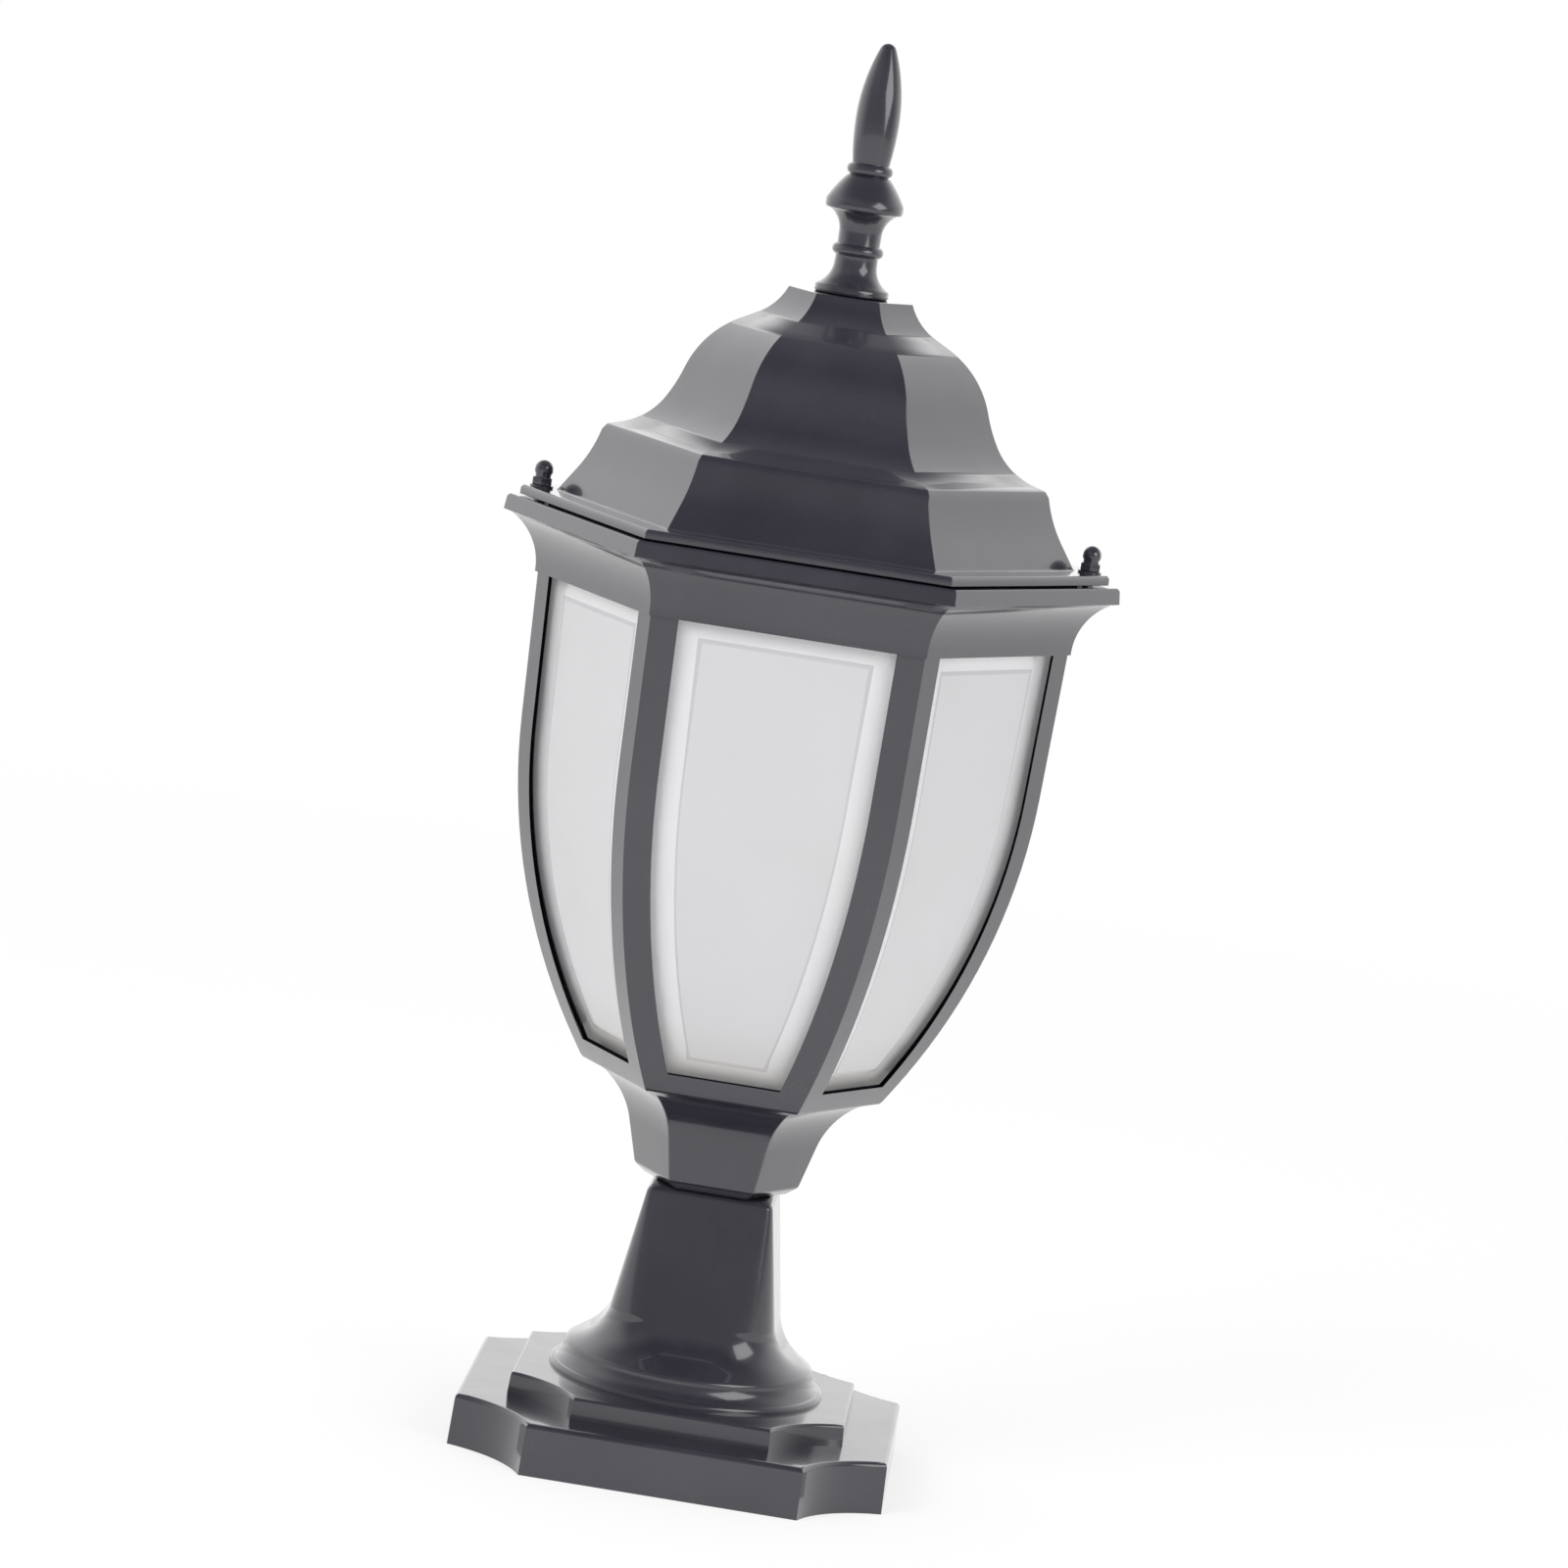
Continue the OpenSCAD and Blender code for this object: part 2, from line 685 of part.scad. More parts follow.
module lower_washer() {
    color(steel)
    translate([0, 0, tube_washer_low_z])
        washer(tube_washer_d, tube_washer_t, tube_hole_d);
}

module lower_nut() {
    color(brass)
    translate([0, 0, tube_washer_low_z - tube_nut_h])
        nut(tube_nut_af, tube_nut_h, tube_d + 0.2);
}

module upper_washer() {
    color(steel)
    translate([0, 0, floor_z])
        washer(tube_washer_d, tube_washer_t, tube_hole_d);
}

module upper_nut() {
    color(brass)
    translate([0, 0, upper_nut_z])
        nut(tube_nut_af, tube_nut_h, tube_d + 0.2);
}

holder_screw_at = 8.5;
holder_body_z = holder_z + holder_cap_h;
socket_z = holder_body_z + holder_h - socket_depth;

module lampholder_cap() {
    wall = 1.6;
    r = holder_d / 2;
    color(steel)
    translate([0, 0, holder_z])
        difference() {
            rotate_extrude()
                polygon([
                    [0, 0], [r * 0.55, 0], [r - wall, holder_cap_h * 0.45],
                    [r - wall, holder_cap_h], [0, holder_cap_h]
                ]);
            translate([0, 0, -1])
                cylinder(d = tube_d + 0.2, h = holder_cap_h - 1.9);
            cylinder(d = tube_bore_d, h = holder_cap_h + 1);
            for (side = [-1, 1])
                translate([side * holder_screw_at, 0, holder_cap_h - 5])
                    cylinder(d = 3.2, h = 6);
        }
}

module lampholder_body() {
    r = holder_d / 2;
    floor_h = holder_h - socket_depth;
    color(ceramic)
    translate([0, 0, holder_body_z])
        difference() {
            rotate_extrude()
                polygon([
                    [0, 0], [r, 0], [r, holder_h * 0.3], [r - 1.5, holder_h * 0.36],
                    [r - 1.5, holder_h - 4], [r - 0.3, holder_h - 3], [r - 0.3, holder_h - 1],
                    [r - 1.3, holder_h], [0, holder_h]
                ]);
            translate([0, 0, floor_h])
                cylinder(d = socket_d, h = socket_depth + 1);
            for (side = [-1, 1])
                translate([side * holder_screw_at, 0, -1])
                    cylinder(d = 3.4, h = floor_h + 2);
            translate([0, 0, -1])
                cylinder(d = 3, h = floor_h + 2);
        }
}

shell_t = 0.5;

module screw_shell() {
    shell_d = socket_d - 0.4;
    color(brass)
    translate([0, 0, socket_z])
        difference() {
            cylinder(d = shell_d, h = socket_depth * 0.72);
            translate([0, 0, shell_t])
                cylinder(d = shell_d - 2 * shell_t, h = socket_depth);
            for (side = [-1, 1])
                translate([side * holder_screw_at, 0, -1])
                    cylinder(d = 3.4, h = 4);
            translate([0, 0, -1])
                cylinder(d = 10, h = 4);
        }
}

module centre_contact() {
    color(brass)
    translate([0, 0, socket_z - 2])
        union() {
            cylinder(d = 2.8, h = 2.5);
            translate([0, 0, 2])
                cylinder(d = 8, h = 1.2);
        }
}

module lampholder_screws() {
    color(steel)
    for (side = [-1, 1])
        translate([side * holder_screw_at, 0, socket_z + shell_t])
            pan_screw(5.2, 1.8, 3, holder_h - socket_depth + shell_t + 3.5);
}

glass_top_z = cage_top_z + glass_tuck;
glass_foot_z = floor_z;
glass_out_inset = wall_r + glass_play / flat;
glass_gap = glass_play + 0.4;
glass_levels = 14;
function glass_side(inset) =
    trace(inset_start([cage_r, cage_top_z], -cage_lean, inset), -cage_lean, cage_moves, inset);
glass_outer = glass_side(glass_out_inset);
glass_edge = glass_side(glass_out_inset + (glass_t - glass_edge_t) / flat);
glass_inner = glass_side(glass_out_inset + glass_t / flat);

// One ring round a panel that looks along +X; the end rings have no raised field
function glass_ring(z, is_end) =
    let (w = radius_at(glass_inner, z) / 2 - glass_gap,
         edge_x = radius_at(glass_edge, z) * flat,
         face_x = is_end ? edge_x : radius_at(glass_outer, z) * flat,
         back_x = radius_at(glass_inner, z) * flat)
    [[back_x, -w, z], [edge_x, -w, z], [face_x, -w + bevel_w, z],
     [face_x, w - bevel_w, z], [edge_x, w, z], [back_x, w, z]];

module glass_panel(turn) {
    low = glass_foot_z + bevel_w * cos(cage_foot_lean);
    high = glass_top_z - bevel_w;
    color(frost)
    rotate(turn)
        loft(concat(
            [glass_ring(glass_foot_z, true)],
            [for (i = [0 : glass_levels]) glass_ring(low + (high - low) * i / glass_levels, false)],
            [glass_ring(glass_top_z, true)]));
}

clip_screw_d = 3;
clip_screw_head_d = 5.6;
clip_screw_head_h = 2;
clip_screw_l = 6;
clip_pad_h = 10;
clip_pad_z = glass_top_z + 4;
clip_screw_z = clip_pad_z + clip_pad_h / 2;

// A cranked spring strip that holds one panel against the crown
module clip(turn) {
    wall_x = crown_in_r * flat;
    back_x = radius_at(glass_inner, glass_top_z) * flat;
    foot_z = cage_top_z + 0.5;
    color(steel)
    rotate(turn)
        difference() {
            translate([0, clip_w / 2, 0])
                rotate([90, 0, 0])
                    linear_extrude(clip_w)
                        polygon([
                            [wall_x, clip_pad_z + clip_pad_h],
                            [wall_x - clip_t, clip_pad_z + clip_pad_h],
                            [wall_x - clip_t, clip_pad_z + clip_t],
                            [back_x - clip_t, glass_top_z + clip_t],
                            [back_x - clip_t, foot_z], [back_x, foot_z],
                            [back_x, glass_top_z], [wall_x, clip_pad_z]
                        ]);
            translate([wall_x, 0, clip_screw_z])
                rotate([0, 90, 0])
                    cylinder(d = clip_screw_d + 0.4, h = 6 * clip_t, center = true);
        }
}

module clip_screws() {
    color(steel)
    for (k = [0 : 5])
        rotate(60 * k + 30)
            translate([crown_in_r * flat - clip_t, 0, clip_screw_z])
                rotate([0, -90, 0])
                    pan_screw(clip_screw_head_d, clip_screw_head_h, clip_screw_d, clip_screw_l);
}

gasket_in_r = crown_in_r + 0.6;
gasket_out_r = gasket_in_r + gasket_w / flat;

module roof_gasket() {
    color([0.10, 0.10, 0.10])
    translate([0, 0, crown_z])
        difference() {
            hexagon(gasket_out_r, gasket_t);
            translate([0, 0, -1])
                hexagon(gasket_in_r, gasket_t + 2);
        }
}

module roof() {
    t = roof_wall / flat;
    flange_edge = 1;
    upper = trace([cap_r, cap_z], roof_top_lean, upper_moves);
    eave = trace([eave_top_r, eave_z], eave_top_lean, eave_moves);
    upper_in = trace(inset_start([cap_r, cap_z], roof_top_lean, t), roof_top_lean, upper_moves, t);
    eave_in = trace(inset_start(eave[0], eave_top_lean, t), eave_top_lean, eave_moves, t);
    ceiling_z = cap_z - cap_t;
    color(paint)
    difference() {
        six_sided(concat(
            [[0, cap_z]], upper, [[nose_r, step_z]],
            eave, [[eave_foot_r + eave_rise, flange_z], [flange_r - flange_edge, flange_z],
                   [flange_r, flange_z - flange_edge], [flange_r, roof_z], [0, roof_z]]));
        six_sided(concat(
            [[0, ceiling_z], [radius_at(upper_in, ceiling_z), ceiling_z]],
            [for (i = [0 : len(upper_in) - 2]) if (upper_in[i][1] < ceiling_z) upper_in[i]],
            eave_in, [[last(eave_in)[0], roof_z - 1], [0, roof_z - 1]]));
        // Seat of the gasket
        translate([0, 0, roof_z - 1])
            difference() {
                hexagon(gasket_out_r + 0.3, gasket_t - gasket_gap + 1);
                hexagon(gasket_in_r - 0.3, gasket_t - gasket_gap + 1);
            }
        cylinder(d = finial_stud_d + 0.4, h = cap_z + 1);
        for (side = [-1, 1])
            translate([side * stud_at, 0, roof_z - 1])
                cylinder(d = stud_d + 0.6, h = flange_t + 2);
    }
}

stud_top_z = flange_z + washer_t + cap_nut_h * 0.6;

module roof_stud(side) {
    color(steel)
    translate([side * stud_at, 0, crown_z - stud_depth])
        cylinder(d = stud_d, h = stud_top_z - crown_z + stud_depth);
}

module roof_washer(side) {
    color(paint)
    translate([side * stud_at, 0, flange_z])
        washer(washer_d, washer_t, stud_d + 0.4);
}

module cap_nut(side) {
    hex_h = cap_nut_h * 0.4;
    dome_r = cap_nut_af / 2 - 0.1;
    dome_z = cap_nut_h - dome_r;
    color(paint)
    translate([side * stud_at, 0, flange_z + washer_t])
        difference() {
            union() {
                hexagon(cap_nut_af / 2 / flat, hex_h);
                rotate_extrude($fn = 32)
                    polygon(concat(
                        [[0, 0], [dome_r, 0]],
                        [for (a = [0 : 15 : 75]) [dome_r * cos(a), dome_z + dome_r * sin(a)]],
                        [[0, cap_nut_h]]));
            }
            translate([0, 0, -1])
                cylinder(d = stud_d + 0.1, h = cap_nut_h * 0.65 + 1);
        }
}

// Half-round bead that stands out from a stem of radius r
function bead(r, z) =
    [for (a = [75 : -25 : -75]) [r - bead_r * 0.3 + bead_r * cos(a), z + bead_r * sin(a)]];

finial_flare_lean = 62;
bell_top_lean = 42;
bell_foot_lean = 27;
bell_under_lean = 68;
bead_h = 4.8;

module finial() {
    stem_z = finial_foot_h + finial_flare_r * sin(finial_flare_lean);
    bell_z = stem_z + finial_stem_h;
    bell_top_z = bell_z + bell_h;
    bud_z = bell_top_z + bead_h;
    bud_wide_z = bud_z + bud_low_h;
    rim_h = bell_h * 0.25;
    bell_side_r = (bell_r - finial_neck_r) / (cos(bell_foot_lean) - cos(bell_top_lean));
    under_r = (bell_r - 1 - finial_neck_r) / (1 - cos(bell_under_lean));
    bud_foot_lean = 9;
    bud_low_r = bud_low_h / sin(bud_foot_lean);
    bud_side_r = (bud_r - bud_tip_r * cos(bud_tip_lean)) / (1 - cos(bud_tip_lean));
    bud_moves = [[bud_tip_lean, bud_tip_r], [0, bud_side_r], [-bud_foot_lean, bud_low_r]];
    bud_side = trace([0, 0], 90, bud_moves);
    tip_z = bud_z - last(bud_side)[1];
    color(paint)
    translate([0, 0, cap_z])
        difference() {
            rotate_extrude($fn = 48)
                polygon(concat(
                    lift(bud_side, tip_z),
                    bead(finial_neck_r - 1, bell_top_z + bead_h / 2),
                    trace([finial_neck_r, bell_top_z], bell_top_lean, [[bell_foot_lean, bell_side_r]]),
                    [[bell_r, bell_z + rim_h * 0.4], [bell_r - 0.4, bell_z]],
                    trace([bell_r - 1, bell_z], -bell_under_lean, [[0, under_r]]),
                    bead(finial_neck_r, stem_z + bead_h),
                    trace([finial_neck_r, stem_z], 0, [[finial_flare_lean, finial_flare_r]]),
                    [[finial_foot_r, finial_foot_h - 0.6], [finial_foot_r, 0.6],
                     [finial_foot_r - 0.6, 0], [0, 0]]));
            translate([0, 0, -1])
                cylinder(d = finial_stud_d + 0.2, h = finial_stud_depth + 1);
        }
}

finial_washer_t = 1.2;
finial_nut_h = 5;
finial_nut_z = cap_z - cap_t - finial_washer_t;

module finial_stud() {
    low = finial_nut_z - finial_nut_h - 2;
    color(steel)
    translate([0, 0, low])
        cylinder(d = finial_stud_d, h = cap_z + finial_stud_depth - low);
}

module finial_washer() {
    color(steel)
    translate([0, 0, finial_nut_z])
        washer(2.3 * finial_stud_d, finial_washer_t, finial_stud_d + 0.4);
}

module finial_nut() {
    color(steel)
    translate([0, 0, finial_nut_z - finial_nut_h])
        nut(10, finial_nut_h, finial_stud_d + 0.2);
}

pedestal();
mounting_strap();
grub_screw(-1);  // grub_screw_left
grub_screw(1);  // grub_screw_right
terminal_block();
terminal_screw();
earth_screw();
earth_washer();
gallery_cup();
lantern_cage();
tie_tube();
lower_washer();
lower_nut();
upper_washer();
upper_nut();
lampholder_cap();
lampholder_body();
screw_shell();
centre_contact();
lampholder_screws();
glass_panel(-90);  // glass_front
glass_panel(-30);  // glass_front_right
glass_panel(30);  // glass_back_right
glass_panel(90);  // glass_back
glass_panel(150);  // glass_back_left
glass_panel(210);  // glass_front_left
clip(-90);  // clip_front
clip(-30);  // clip_front_right
clip(30);  // clip_back_right
clip(90);  // clip_back
clip(150);  // clip_back_left
clip(210);  // clip_front_left
clip_screws();
roof_gasket();
roof();
roof_stud(-1);  // stud_left
roof_stud(1);  // stud_right
roof_washer(-1);  // roof_washer_left
roof_washer(1);  // roof_washer_right
cap_nut(-1);  // cap_nut_left
cap_nut(1);  // cap_nut_right
finial();
finial_stud();
finial_washer();
finial_nut();
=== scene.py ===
from math import asin, atan2, ceil, cos, pi, radians, sin, tan

import bmesh
import bpy
from mathutils import Matrix, Vector


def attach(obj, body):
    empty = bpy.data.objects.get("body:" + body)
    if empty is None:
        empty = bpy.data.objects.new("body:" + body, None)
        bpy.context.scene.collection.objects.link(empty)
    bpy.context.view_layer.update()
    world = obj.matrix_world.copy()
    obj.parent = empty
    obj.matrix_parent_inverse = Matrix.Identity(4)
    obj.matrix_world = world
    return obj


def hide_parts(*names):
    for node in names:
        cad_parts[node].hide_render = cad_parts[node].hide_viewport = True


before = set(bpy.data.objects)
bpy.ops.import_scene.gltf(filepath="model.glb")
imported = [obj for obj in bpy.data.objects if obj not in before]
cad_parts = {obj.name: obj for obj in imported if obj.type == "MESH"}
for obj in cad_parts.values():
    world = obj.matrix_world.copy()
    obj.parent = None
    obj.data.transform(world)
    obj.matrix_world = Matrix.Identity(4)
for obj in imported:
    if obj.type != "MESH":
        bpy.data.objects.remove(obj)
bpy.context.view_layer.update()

# Studio. A pale floor under soft lamps, with a white room round it. The long lens stands
# 2.4 m away and a little above the lamp's middle, and the picture is taken crooked.
aim = Vector((0, 0, 0.265))
camera_off = 2.4
turned_right, looking_down, crooked = radians(2.53), radians(7.33), radians(8.70)
back = Vector((sin(turned_right) * cos(looking_down), -cos(turned_right) * cos(looking_down),
               sin(looking_down)))
camera = bpy.data.objects.new("camera", bpy.data.cameras.new("camera"))
camera.data.lens = 150.7
camera.data.sensor_width = 36
camera.data.shift_x = 0.0014
camera.data.shift_y = -0.0237
camera.location = aim + camera_off * back
camera.rotation_euler = ((-back).to_track_quat("-Z", "Y").to_matrix()
                         @ Matrix.Rotation(crooked, 3, "Z")).to_euler()
bpy.context.scene.collection.objects.link(camera)
bpy.context.scene.camera = camera
bpy.context.scene.view_settings.view_transform = "Standard"


def softbox(name, place, size, power, gloss=True):
    """A lamp turned to the middle of the light, which the camera never sees."""
    lamp = bpy.data.lights.new(name, "AREA")
    lamp.shape = "RECTANGLE"
    lamp.size, lamp.size_y = size
    lamp.energy = power
    box = bpy.data.objects.new(name, lamp)
    box.location = place
    box.rotation_euler = (aim - Vector(place)).to_track_quat("-Z", "Z").to_euler()
    box.visible_camera = False
    box.visible_glossy = gloss
    bpy.context.scene.collection.objects.link(box)


softbox("key softbox", (-1.5, -1.9, 1.9), (1.4, 1.4), 36, gloss=False)
softbox("key glint", (-1.5, -1.9, 1.9), (0.8, 0.8), 6)
softbox("fill softbox", (1.9, -1.6, 1.2), (1.6, 1.6), 24)
softbox("top softbox", (0, 0.3, 2.4), (1.8, 1.8), 26, gloss=False)


def seen_directly(tree):
    """One for what the camera, a reflection or clear glass sees, and nought for light."""
    path = tree.nodes.new("ShaderNodeLightPath")
    seen = path.outputs["Is Camera Ray"]
    for ray in ("Is Glossy Ray", "Is Transmission Ray"):
        either = tree.nodes.new("ShaderNodeMath")
        either.operation = "MAXIMUM"
        tree.links.new(seen, either.inputs[0])
        tree.links.new(path.outputs[ray], either.inputs[1])
        seen = either.outputs[0]
    return seen


world = bpy.data.worlds.new("white room")
world.use_nodes = True
room = world.node_tree
strength = room.nodes.new("ShaderNodeMapRange")
strength.inputs["To Min"].default_value = 0.55
strength.inputs["To Max"].default_value = 1.0
room.links.new(seen_directly(room), strength.inputs["Value"])
room.nodes["Background"].inputs["Color"].default_value = (1, 1, 1, 1)
room.links.new(strength.outputs["Result"], room.nodes["Background"].inputs["Strength"])
bpy.context.scene.world = world

# A round floor of white paper, which glows a little more the farther off it is, so that its
# edge is lost in the white of the room while the shadow near the light stays
floor_mesh = bmesh.new()
bmesh.ops.create_circle(floor_mesh, cap_ends=True, segments=96, radius=4)
floor_data = bpy.data.meshes.new("floor")
floor_mesh.to_mesh(floor_data)
floor_mesh.free()
floor = bpy.data.objects.new("floor", floor_data)
bpy.context.scene.collection.objects.link(floor)
paper = bpy.data.materials.new("white paper floor")
paper.use_nodes = True
tree = paper.node_tree
tree.nodes.remove(tree.nodes["Principled BSDF"])
matt = tree.nodes.new("ShaderNodeBsdfDiffuse")
matt.inputs["Color"].default_value = (0.86, 0.86, 0.86, 1)
glow = tree.nodes.new("ShaderNodeEmission")
blend = tree.nodes.new("ShaderNodeMixShader")
distance = tree.nodes.new("ShaderNodeVectorMath")
distance.operation = "LENGTH"
fade = tree.nodes.new("ShaderNodeMapRange")
fade.inputs["From Min"].default_value = 0.4
fade.inputs["From Max"].default_value = 1.6
fade.inputs["To Min"].default_value = 0.72
coordinates = tree.nodes.new("ShaderNodeTexCoord")
shown = tree.nodes.new("ShaderNodeMath")
shown.operation = "MULTIPLY"
tree.links.new(coordinates.outputs["Object"], distance.inputs[0])
tree.links.new(distance.outputs["Value"], fade.inputs["Value"])
tree.links.new(fade.outputs["Result"], shown.inputs[0])
tree.links.new(seen_directly(tree), shown.inputs[1])
tree.links.new(shown.outputs[0], blend.inputs["Fac"])
tree.links.new(matt.outputs[0], blend.inputs[1])
tree.links.new(glow.outputs[0], blend.inputs[2])
tree.links.new(blend.outputs[0], tree.nodes["Material Output"].inputs["Surface"])
floor_data.materials.append(paper)

# What the gloss mirrors besides the lamps: a tent of white cloth round the sides and the
# back, which is dim overhead and towards the dark end of the room behind the camera
tent_mesh = bmesh.new()
bmesh.ops.create_uvsphere(tent_mesh, u_segments=48, v_segments=24, radius=3.7)
tent_data = bpy.data.meshes.new("tent")
tent_mesh.to_mesh(tent_data)
tent_mesh.free()
tent = bpy.data.objects.new("tent", tent_data)
bpy.context.scene.collection.objects.link(tent)
for ray in ("camera", "diffuse", "transmission", "shadow", "volume_scatter"):
    setattr(tent, "visible_" + ray, False)
cloth = bpy.data.materials.new("lit tent cloth")
cloth.use_nodes = True
tree = cloth.node_tree
tree.nodes.remove(tree.nodes["Principled BSDF"])
glow = tree.nodes.new("ShaderNodeEmission")
towards = tree.nodes.new("ShaderNodeVectorMath")
towards.operation = "DOT_PRODUCT"
towards.inputs[1].default_value = (-0.05, 0.265, 0)
level = tree.nodes.new("ShaderNodeMapRange")
level.interpolation_type = "SMOOTHSTEP"
for socket, number in (("From Min", -0.5), ("From Max", 0.35),
                       ("To Min", 0.32), ("To Max", 1.25)):
    level.inputs[socket].default_value = number
coordinates = tree.nodes.new("ShaderNodeTexCoord")
height = tree.nodes.new("ShaderNodeSeparateXYZ")
overhead = tree.nodes.new("ShaderNodeMapRange")
overhead.interpolation_type = "SMOOTHSTEP"
for socket, number in (("From Min", 1.9), ("From Max", 3.3), ("To Min", 1), ("To Max", 0.2)):
    overhead.inputs[socket].default_value = number
strength = tree.nodes.new("ShaderNodeMath")
strength.operation = "MULTIPLY"
tree.links.new(coordinates.outputs["Object"], towards.inputs[0])
tree.links.new(coordinates.outputs["Object"], height.inputs[0])
tree.links.new(height.outputs["Z"], overhead.inputs["Value"])
tree.links.new(towards.outputs["Value"], level.inputs["Value"])
tree.links.new(level.outputs["Result"], strength.inputs[0])
tree.links.new(overhead.outputs["Result"], strength.inputs[1])
tree.links.new(strength.outputs[0], glow.inputs["Strength"])
tree.links.new(glow.outputs[0], tree.nodes["Material Output"].inputs["Surface"])
tent_data.materials.append(cloth)

# Pedestal. One aluminium sand casting, enamelled: a square plinth with hollow corners, a
# plate, a low ring, and a neck that flares into them. It is hollow and open below.
plinth_w, plinth_h, plinth_hollow, plinth_lean, plinth_edge = 160, 19, 45.5, 0.5, 1.8
plate_w, plate_h, plate_hollow, plate_lean, plate_edge = 124, 8, 42, 0.4, 1.2
hollow_out = 14
ring_h, ring_out, ring_edge = 2.2, 1.9, 1.5
foot_cove_r, foot_cove_lean, flare_edge = 8, 50, 2
neck_w, shoulder, neck_lean, neck_run = 46.8, 3, 9.2, 45.2
flare_lean, flare_r, flare_run = 62, 20, 4.8
corner_top, corner_foot = 2.8, 14
casting_wall, neck_web, tube_hole = 4.5, 7, 5.2


def group_tree(name, takes, gives):
    group = bpy.data.node_groups.new(name, "ShaderNodeTree")
    for socket, kind, value in takes:
        made = group.interface.new_socket(socket, in_out="INPUT", socket_type=kind)
        made.default_value = value
    for socket, kind in gives:
        group.interface.new_socket(socket, in_out="OUTPUT", socket_type=kind)
    return group, group.nodes.new("NodeGroupInput"), group.nodes.new("NodeGroupOutput")


def noise(tree, vector, scale, detail=2.0, roughness=0.5):
    texture = tree.nodes.new("ShaderNodeTexNoise")
    texture.inputs["Scale"].default_value = scale
    texture.inputs["Detail"].default_value = detail
    texture.inputs["Roughness"].default_value = roughness
    tree.links.new(vector, texture.inputs["Vector"])
    return texture.outputs["Fac"]


def spread(tree, value, low, high, to_low, to_high):
    ramp = tree.nodes.new("ShaderNodeMapRange")
    for socket, number in zip(("From Min", "From Max", "To Min", "To Max"),
                              (low, high, to_low, to_high)):
        ramp.inputs[socket].default_value = number
    tree.links.new(value, ramp.inputs["Value"])
    return ramp.outputs["Result"]


def combine(tree, how, first, second):
    sum_up = tree.nodes.new("ShaderNodeMath")
    sum_up.operation = how
    for socket, value in zip(sum_up.inputs, (first, second)):
        if isinstance(value, (int, float)):
            socket.default_value = value
        else:
            tree.links.new(value, socket)
    return sum_up.outputs[0]


def colour_mix(tree, share, first, second):
    mixer = tree.nodes.new("ShaderNodeMix")
    mixer.data_type = "RGBA"
    tree.links.new(share, mixer.inputs["Factor"])
    for socket, value in ((mixer.inputs[6], first), (mixer.inputs[7], second)):
        if isinstance(value, tuple):
            socket.default_value = value
        else:
            tree.links.new(value, socket)
    return mixer.outputs[2]


# Cast surface under a coat: slow waves from the mould, a fine orange peel, faint clouds
cast_surface, taken, given = group_tree(
    "cast surface",
    [("Colour", "NodeSocketColor", (0.03, 0.03, 0.035, 1)),
     ("Bloom", "NodeSocketColor", (0.06, 0.055, 0.07, 1)),
     ("Smooth", "NodeSocketFloat", 0.16), ("Dull", "NodeSocketFloat", 0.3)],
    [("Colour", "NodeSocketColor"), ("Roughness", "NodeSocketFloat"),
     ("Height", "NodeSocketFloat")])
where = cast_surface.nodes.new("ShaderNodeTexCoord").outputs["Object"]
clouds = noise(cast_surface, where, 22, 4, 0.6)
waves = noise(cast_surface, where, 48, 1)
peel = noise(cast_surface, where, 520, 2)
cloudy = spread(cast_surface, clouds, 0.35, 0.75, 0, 1)
cast_surface.links.new(
    colour_mix(cast_surface, cloudy, taken.outputs["Colour"], taken.outputs["Bloom"]),
    given.inputs["Colour"])
dulled = cast_surface.nodes.new("ShaderNodeMapRange")
cast_surface.links.new(cloudy, dulled.inputs["Value"])
cast_surface.links.new(taken.outputs["Smooth"], dulled.inputs["To Min"])
cast_surface.links.new(taken.outputs["Dull"], dulled.inputs["To Max"])
cast_surface.links.new(dulled.outputs["Result"], given.inputs["Roughness"])
cast_surface.links.new(
    combine(cast_surface, "ADD", combine(cast_surface, "MULTIPLY", waves, 1.0),
            combine(cast_surface, "MULTIPLY", peel, 0.05)),
    given.inputs["Height"])


def bumped(tree, height, depth, strength, shader):
    bump = tree.nodes.new("ShaderNodeBump")
    bump.inputs["Distance"].default_value = depth
    bump.inputs["Strength"].default_value = strength
    tree.links.new(height, bump.inputs["Height"])
    tree.links.new(bump.outputs["Normal"], shader.inputs["Normal"])


def finish(name, group, values, shader_values, depth, strength):
    """A material whose colour, roughness and bump come from a group."""
    material = bpy.data.materials.new(name)
    material.use_nodes = True
    tree = material.node_tree
    shader = tree.nodes["Principled BSDF"]
    for socket, value in shader_values.items():
        shader.inputs[socket].default_value = value
    surface = tree.nodes.new("ShaderNodeGroup")
    surface.node_tree = group
    for socket, value in values.items():
        surface.inputs[socket].default_value = value
    tree.links.new(surface.outputs["Colour"], shader.inputs["Base Color"])
    tree.links.new(surface.outputs["Roughness"], shader.inputs["Roughness"])
    bumped(tree, surface.outputs["Height"], depth, strength, shader)
    return material


enamel = finish("black enamel", cast_surface,
                {"Colour": (0.022, 0.020, 0.029, 1), "Bloom": (0.031, 0.0285, 0.040, 1),
                 "Smooth": 0.2, "Dull": 0.3},
                {"Coat Weight": 0.9, "Coat Roughness": 0.07, "IOR": 1.5}, 0.0006, 0.4)


def new_loop(bm, before):
    """The edges drawn since before was noted."""
    return [edge for edge in bm.edges if edge not in before]


